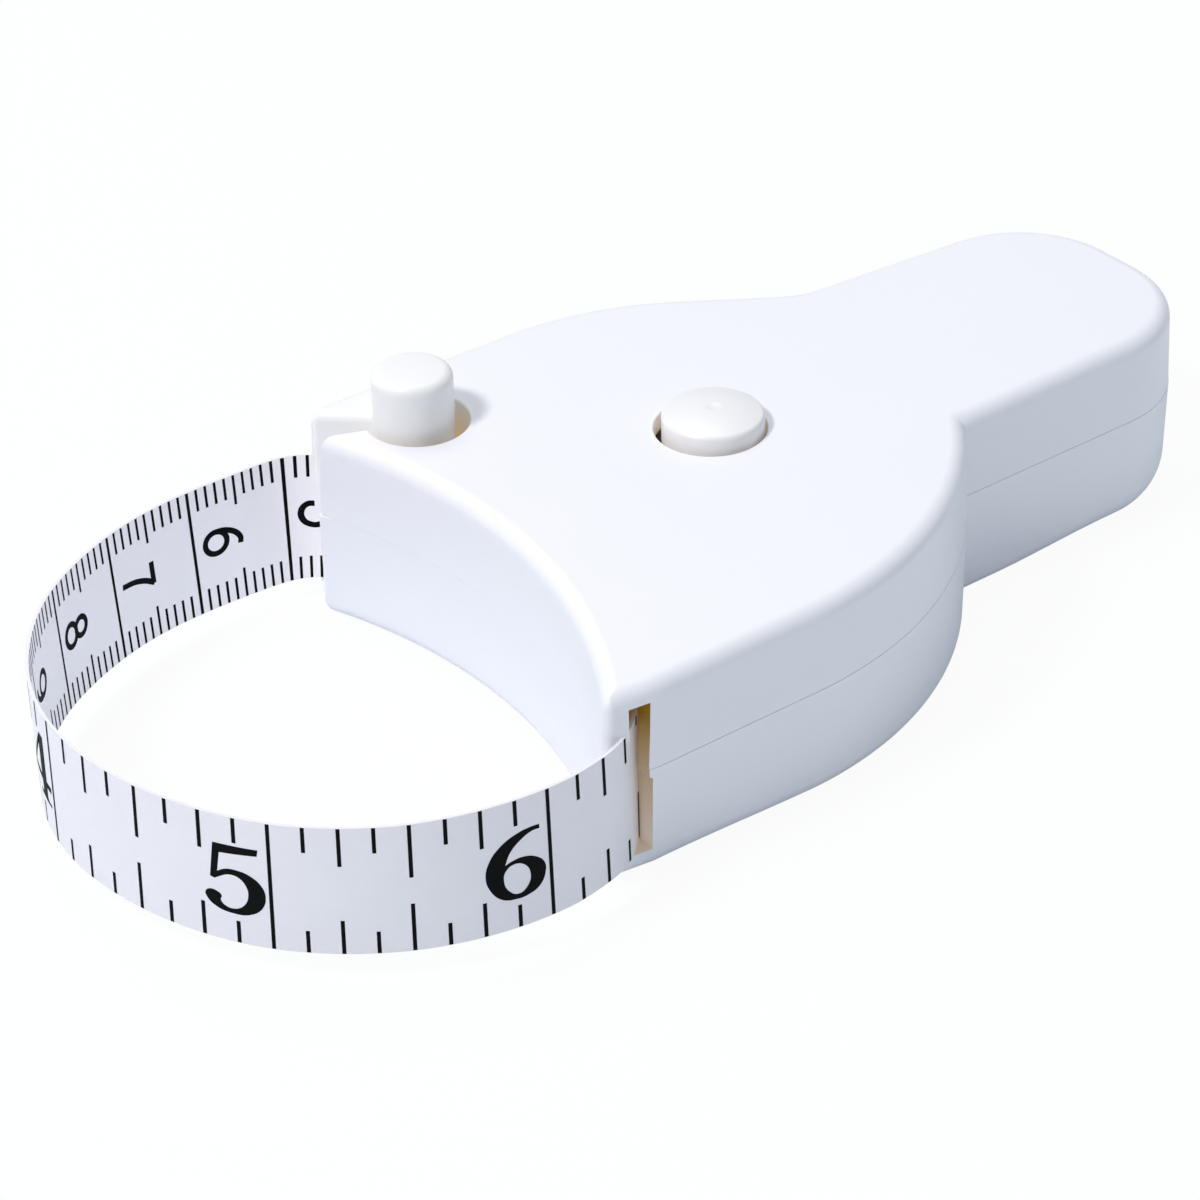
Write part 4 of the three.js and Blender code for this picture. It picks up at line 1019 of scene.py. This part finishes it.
def horn_block(low, high):
    """The solid of the peg horn: the socket's wall and all in front of it."""
    reach, left, front = SOCKET_RADIUS + SOCKET_WALL, PEG_WALL - 1, front_point(PEG_WALL)[1] - 1
    middle, rear = SOCKET
    corners = [(left, front), (middle + reach / 2, front), (middle + reach, rear), (left, rear)]
    block = prism(corners, low, high, SHELL)
    join(block, post(reach, low, high, SOCKET, SHELL, 128))
    return block


def within_outline(depth, low, high):
    """The casing's plan moved inwards by a depth, as a solid between two heights."""
    points, least = inset(depth), 0.02
    apart = np.linalg.norm(points - np.roll(points, 1, 0), axis=1) > least
    return prism(points[apart], low, high, INSIDE_PAINTED_SHADE)


def hollow(depth, low, high):
    """A cavity of the casing, less the peg horn's solid."""
    cavity = within_outline(depth, low, high)
    cut(cavity, horn_block(low - 1, high + 1))
    return cavity


def strip(centre, start, end, right, left):
    """Corners of a strip along the mouth's way, between two distances out and two to the side."""
    way, side = unit(MOUTH_ANGLE), unit(MOUTH_ANGLE + 90)
    corners = ((start, right), (end, right), (end, left), (start, left))
    return [centre + way * out + side * across for out, across in corners]


POST, POST_ABOVE, POST_BELOW = 2.5, 0.15, 0.3
SCREW_BORE, SCREW_BORE_TOP = 1.3, 15.05
SPUR_OUT, SPUR_ACROSS = (4.06, 5.6), (-1.3, -4.2)
HEAD_BOSS, HEAD_BOSS_TOP, HEAD_BORE, HEAD_BORE_TOP = 2.8, 3.0, 2.4, 2.1
BURIED = 0.9
REBATE, REBATE_HIGH, TONGUE = 0.65, 1.35, 1.0
RIB_INNER, RIB_OUTER, RIB_TOP = 15, 16, 2.5
ARBOR_RADIUS, ARBOR_FOOT = 2.3, 0.7
BUTTON_HOLE, BUTTON_HOLE_EDGE = 5.4, 0.22


def upper_casing():
    """Top half: outer skin less its cavity, with screw posts, the button's hole, socket, mouth and slot."""
    piece = loft("casing_top", upper_rings(), SHELL)
    low = PARTING + SEAM
    cut(piece, hollow(WALL, low - 1, ROOF_UNDER), hollow(REBATE, low - 1, PARTING + REBATE_HIGH))
    for place in SCREWS:
        join(piece, post(POST, PARTING + POST_ABOVE, ROOF_UNDER + BURIED, place))
        cut(piece, post(SCREW_BORE, 0, SCREW_BORE_TOP, place))
    join(piece, exit_guide(low, ROOF_UNDER + 0.5))
    cut(piece, hole_cutter(BUTTON_HOLE, BUTTON_HOLE_EDGE, ROOF_UNDER - 1, COLLAR), socket_cutter())
    join(piece, prism(strip(SOCKET, *SPUR_OUT, *SPUR_ACROSS), low, HEIGHT, SHELL))
    wide, narrow = [(0, 0), (12, 0), (15.2, 0.2)], [(15.1, 0.2), (18.4, 0.35)]
    cut(piece, mouth(0.0, 0.56), exit_channel(wide, CHANNEL_FRONT), exit_channel(narrow, LIP_EDGE[1]))
    return finish_edges(piece)


def lower_casing():
    """Bottom half: outer skin less its cavity, with the tongue, screw posts, socket, mouth and slot."""
    piece = loft("casing_bottom", lower_rings(), SHELL)
    cut(piece, hollow(WALL, FLOOR, PARTING + 1))
    tongue = within_outline(TONGUE, PARTING - 1, PARTING + 1)
    cut(tongue, within_outline(WALL, 0, HEIGHT), horn_block(0, HEIGHT))
    join(piece, tongue)
    for place in SCREWS:
        join(piece, post(POST, BURIED, PARTING - POST_BELOW, place),
             post(HEAD_BOSS, BURIED, HEAD_BOSS_TOP, place))
        cut(piece, post(HEAD_BORE, -1, HEAD_BORE_TOP, place, SHELL), post(SCREW_BORE, 0, HEIGHT, place))
    rib = [(RIB_INNER, BURIED), (RIB_OUTER, BURIED), (RIB_OUTER, RIB_TOP), (RIB_INNER, RIB_TOP)]
    join(piece, turned("cutter", rib, INSIDE_PAINTED_SHADE, closed=True))
    cut(piece, post(ARBOR_RADIUS, ARBOR_FOOT, 3, (0, 0)), exit_guide(PARTING, HEIGHT))
    join(piece, exit_guide(FLOOR - 0.1, PARTING, 1.2))
    hook = [(2.8, 0.35), (10.55, 0.35), (10.57, 0.22), (10.66, 0.1), (10.84, 0.02), (11.0, 0), (HEIGHT, 0)]
    cut(piece, socket_cutter(), mouth(0.5, 0.5), exit_channel(hook, CHANNEL_FRONT))
    return finish_edges(piece)


# Button, peg and hidden parts

def button_cap():
    """Turned profile: brake flange, neck, rounded rim, low dome and a small centre mark."""
    top, edge, radius, crown, dome_power = 21.85, 0.5, 4.9, 0.6, 2.2
    bore, bore_top, flange, flange_low, flange_top = 3.4, 18.65, 9.0, 14.4, 15.9
    rim = sweep((radius - edge, top - edge), edge, 0, 78, 10)
    reach, rim_top = rim[-1]
    out = np.linspace(1, 0.2, 16)[1:]
    dome = np.column_stack([reach * out, rim_top + (top + crown - rim_top) * (1 - out ** dome_power)])
    dips = ((0.8, 0), (0.62, 0.015), (0.45, 0.05), (0.3, 0.075), (0.12, 0.085), (0, 0.085))
    mark = [(r, dome[-1, 1] - dip) for r, dip in dips]
    under = [(0, bore_top), (bore, bore_top), (bore, flange_low), (flange, flange_low),
             (flange, flange_top), (radius, flange_top)]
    off_centre, sides = (0.15, 0.2), 160
    piece = turned("button_cap", np.vstack([under, rim, dome, mark]), BUTTON, off_centre, sides)
    return finish_edges(piece, 40)


def peg_body():
    """Turned profile with a rounded top edge, slit from below for the tape's end."""
    edge, foot_edge, bottom, crown, sides = 0.95, 0.3, 2.05, 0.12, 160
    slit_low, slit_top, slit_reach, pin_room = 1, 15.7, 5, 1.6
    rim = sweep((PEG_RADIUS - edge, PEG_TOP - crown - edge), edge, 0, 84, 12)
    reach, rim_top = rim[-1]
    out = np.linspace(reach, 0.4, 9)[1:, None]
    dome = np.hstack([out, rim_top + (PEG_TOP - rim_top) * (1 - (out / reach) ** 2)])
    foot = sweep((PEG_RADIUS - foot_edge, bottom + foot_edge), foot_edge, -90, 0, 5)
    profile = np.vstack([[(0, bottom)], foot, rim, dome, [(0, PEG_TOP)]])
    piece = turned("peg_body", profile, PEG_PLASTIC, PEG, sides)
    slit = strip(PEG, 0, slit_reach, -HALF_CHANNEL, HALF_CHANNEL)
    cut(piece, prism(slit, slit_low, slit_top, PEG_PLASTIC),
        post(pin_room, slit_low, slit_top, PEG, PEG_PLASTIC))
    return finish_edges(piece, 40)


def tape_coil():
    """A flat spiral of the tape: the radius is the inner one plus the pitch times the turns."""
    steps_in_turn, half = 90, TAPE_THICK / 2
    turn = np.linspace(0, COIL_TURNS, COIL_TURNS * steps_in_turn + 1)[:, None]
    radius = COIL_INNER + COIL_PITCH * turn + np.array([half, half, -half, -half])
    height = COIL_BOTTOM + np.array([0, TAPE_WIDTH, TAPE_WIDTH, 0]) + 0 * turn
    angle = 2 * np.pi * turn
    rings = np.stack([radius * np.cos(angle), radius * np.sin(angle), height], -1)
    piece = loft("tape_coil", rings, CLOTH)
    piece.data.set_sharp_from_angle(angle=math.radians(50))
    return piece


def return_spring(low, high):
    """A round wire on a cylinder, (r cos t, r sin t), rising more slowly in its first and last turns."""
    radius, wire, turns, steps_in_turn, sides = 2.55, 0.5, 5, 36, 10
    share = np.linspace(0, 1, turns * steps_in_turn + 1)
    angle = 2 * np.pi * turns * share
    rise = low + wire / 2 + (high - low - wire) * (share - 0.5 * np.sin(2 * np.pi * share) / (2 * np.pi))
    out = np.column_stack([np.cos(angle), np.sin(angle), 0 * angle])
    middle = np.column_stack([radius * out[:, :2], rise])
    up = np.cross(ways(middle), out)
    turn = (np.arange(sides) * 2 * np.pi / sides)[:, None]
    around = out[:, None] * np.cos(turn) + up[:, None] * np.sin(turn)
    return loft("return_spring", middle[:, None] + wire / 2 * around, SPRING)


def eye_fold():
    """The tape's end: a ring round the pin and a straight tail out through the slit."""
    inner, outer, half = 1.0, 1.3, TAPE_THICK / 2
    low = COIL_BOTTOM - LOOP_SAG
    high = low + TAPE_WIDTH
    section = [(inner, low), (outer, low), (outer, high), (inner, high)]
    piece = turned("tape_end_fold", section, CLOTH, PEG, 64, closed=True)
    join(piece, prism(strip(PEG, (inner + outer) / 2, PEG_RADIUS, -half, half), low, high, CLOTH))
    return finish_edges(piece, 40)


def screw_piece(index, place):
    """Pan head with a cross recess, plain shank and blunt point."""
    low, head, head_top, shank, shank_top, point, top = 0.5, 2.1, 1.8, 1.0, 13.7, 0.25, 14.7
    profile = [(0, low), (1.7, low), (1.95, 0.58), (2.08, 0.75), (head, 0.92), (head, head_top),
               (shank, head_top), (shank, shank_top), (point, top), (0, top)]
    piece = turned(f"screw_{index}", profile, PLATED, place, 64)
    long, short, depth = 1.25, 0.25, 1.1
    for arm in ((long, short), (short, long)):
        cut(piece, prism([place + np.multiply(arm, corner) for corner in SQUARE], -0.5, depth, PLATED))
    return finish_edges(piece, 35)


def dress(piece, body, slot, *nodes):
    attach(piece, body)
    if nodes:
        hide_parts(*nodes)


top, bottom = upper_casing(), lower_casing()
dress(top, "casing", "white_shell", "upper_shell")
dress(bottom, "casing", "white_shell", "lower_shell")
dress(button_cap(), "button", "white_button", "button")
dress(peg_body(), "peg", "white_peg", "peg")
for number, spot in enumerate(SCREWS, 1):
    dress(screw_piece(number, spot), "casing", "screw_steel", f"casing_screw_{number}")

band, inches, centimetres = tape_loop(), print_inches(), print_centimetres()
coil, fold = tape_coil(), eye_fold()
dress(coil, "reel", "coated_cloth", "wound_tape")
dress(fold, "peg", "coated_cloth", "tape_eye")
for piece in (band, inches, centimetres):
    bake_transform(piece)
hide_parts("tape_run", "tape_loop")

spring_low, spring_high = (corner[2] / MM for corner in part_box("button_spring"))
spring = return_spring(spring_low, spring_high)
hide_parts("button_spring")
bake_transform(spring)

# Materials of the CAD nodes that stay
KEPT = {"arbor": NATURAL, "reel_drum": NATURAL, "reel_flange": NATURAL, "spring_cover": NATURAL,
        "power_spring": SPRING, "brake_ring": RUBBER, "peg_pin": PLATED}
for node, material in KEPT.items():
    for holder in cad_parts[node].material_slots:
        holder.material = material


# Floor, background and lamps

FLOOR_HALF, FLOOR_DROP = 3000.0, 0.02
FLOOR_COLOUR, FLOOR_SHADE = (0.775, 0.83, 0.87, 1), 0.06
ROOM_COLOUR, ROOM_STRENGTH = (0.845, 0.925, 1.0, 1), 0.475


def floor_material():
    """Pale floor that the camera sees as white, with a share of its lit shade."""
    material = bpy.data.materials.new("pale_floor")
    tree = Tree(material, empty=True)
    diffuse = tree.node("ShaderNodeBsdfDiffuse", (), {0: FLOOR_COLOUR})
    glow = tree.node("ShaderNodeEmission", (), {0: WHITE})
    seen = tree.node("ShaderNodeMixShader", (), {0: FLOOR_SHADE, 1: glow, 2: diffuse})
    by_camera = tree.node("ShaderNodeLightPath", output="Is Camera Ray")
    mixed = tree.node("ShaderNodeMixShader", (), {0: by_camera, 1: diffuse, 2: seen})
    tree.node("ShaderNodeOutputMaterial", (), {0: mixed}, None)
    return material


corners = [(FLOOR_HALF * x, FLOOR_HALF * y, -FLOOR_DROP) for x, y in SQUARE]
ground = make("floor", corners, [(0, 1, 2, 3)], floor_material(), smooth=False)


def studio_world():
    """White to the camera and through clear things, a cool even light elsewhere."""
    scene.world = bpy.data.worlds.new("studio")
    tree = Tree(scene.world, empty=True)
    path = tree.node("ShaderNodeLightPath", output=None)
    rays = {0: path["Is Camera Ray"], 1: path["Is Transmission Ray"]}
    either = tree.node("ShaderNodeMath", {"operation": "MAXIMUM"}, rays)
    soft = tree.node("ShaderNodeBackground", (), {0: ROOM_COLOUR, 1: ROOM_STRENGTH})
    white = tree.node("ShaderNodeBackground", (), {0: WHITE, 1: 1.0})
    mixed = tree.node("ShaderNodeMixShader", (), {0: either, 1: soft, 2: white})
    tree.node("ShaderNodeOutputWorld", (), {0: mixed}, None)


studio_world()


def lamp(name, place, aim, size, power, colour):
    """A round area lamp at a place, turned to its aim."""
    data = bpy.data.lights.new(name, "AREA")
    data.shape, data.size, data.energy, data.color = "DISK", size, power, colour
    away = np.subtract(place, aim)
    away /= np.linalg.norm(away)
    side = np.cross((0, 0, 1), away)
    side /= np.linalg.norm(side)
    put(bpy.data.objects.new(name, data), side, np.cross(away, side), away, place)


lamp("key", (-0.1, -0.63, 0.86), (0, 0, 0.01), 0.2, 6.0, (0.99, 0.975, 0.955))
lamp("overhead", (-0.5, 0.15, 1.15), (0, 0.01, 0.01), 0.8, 4.4, (1.0, 0.99, 0.975))

scene.view_settings.view_transform = "Standard"
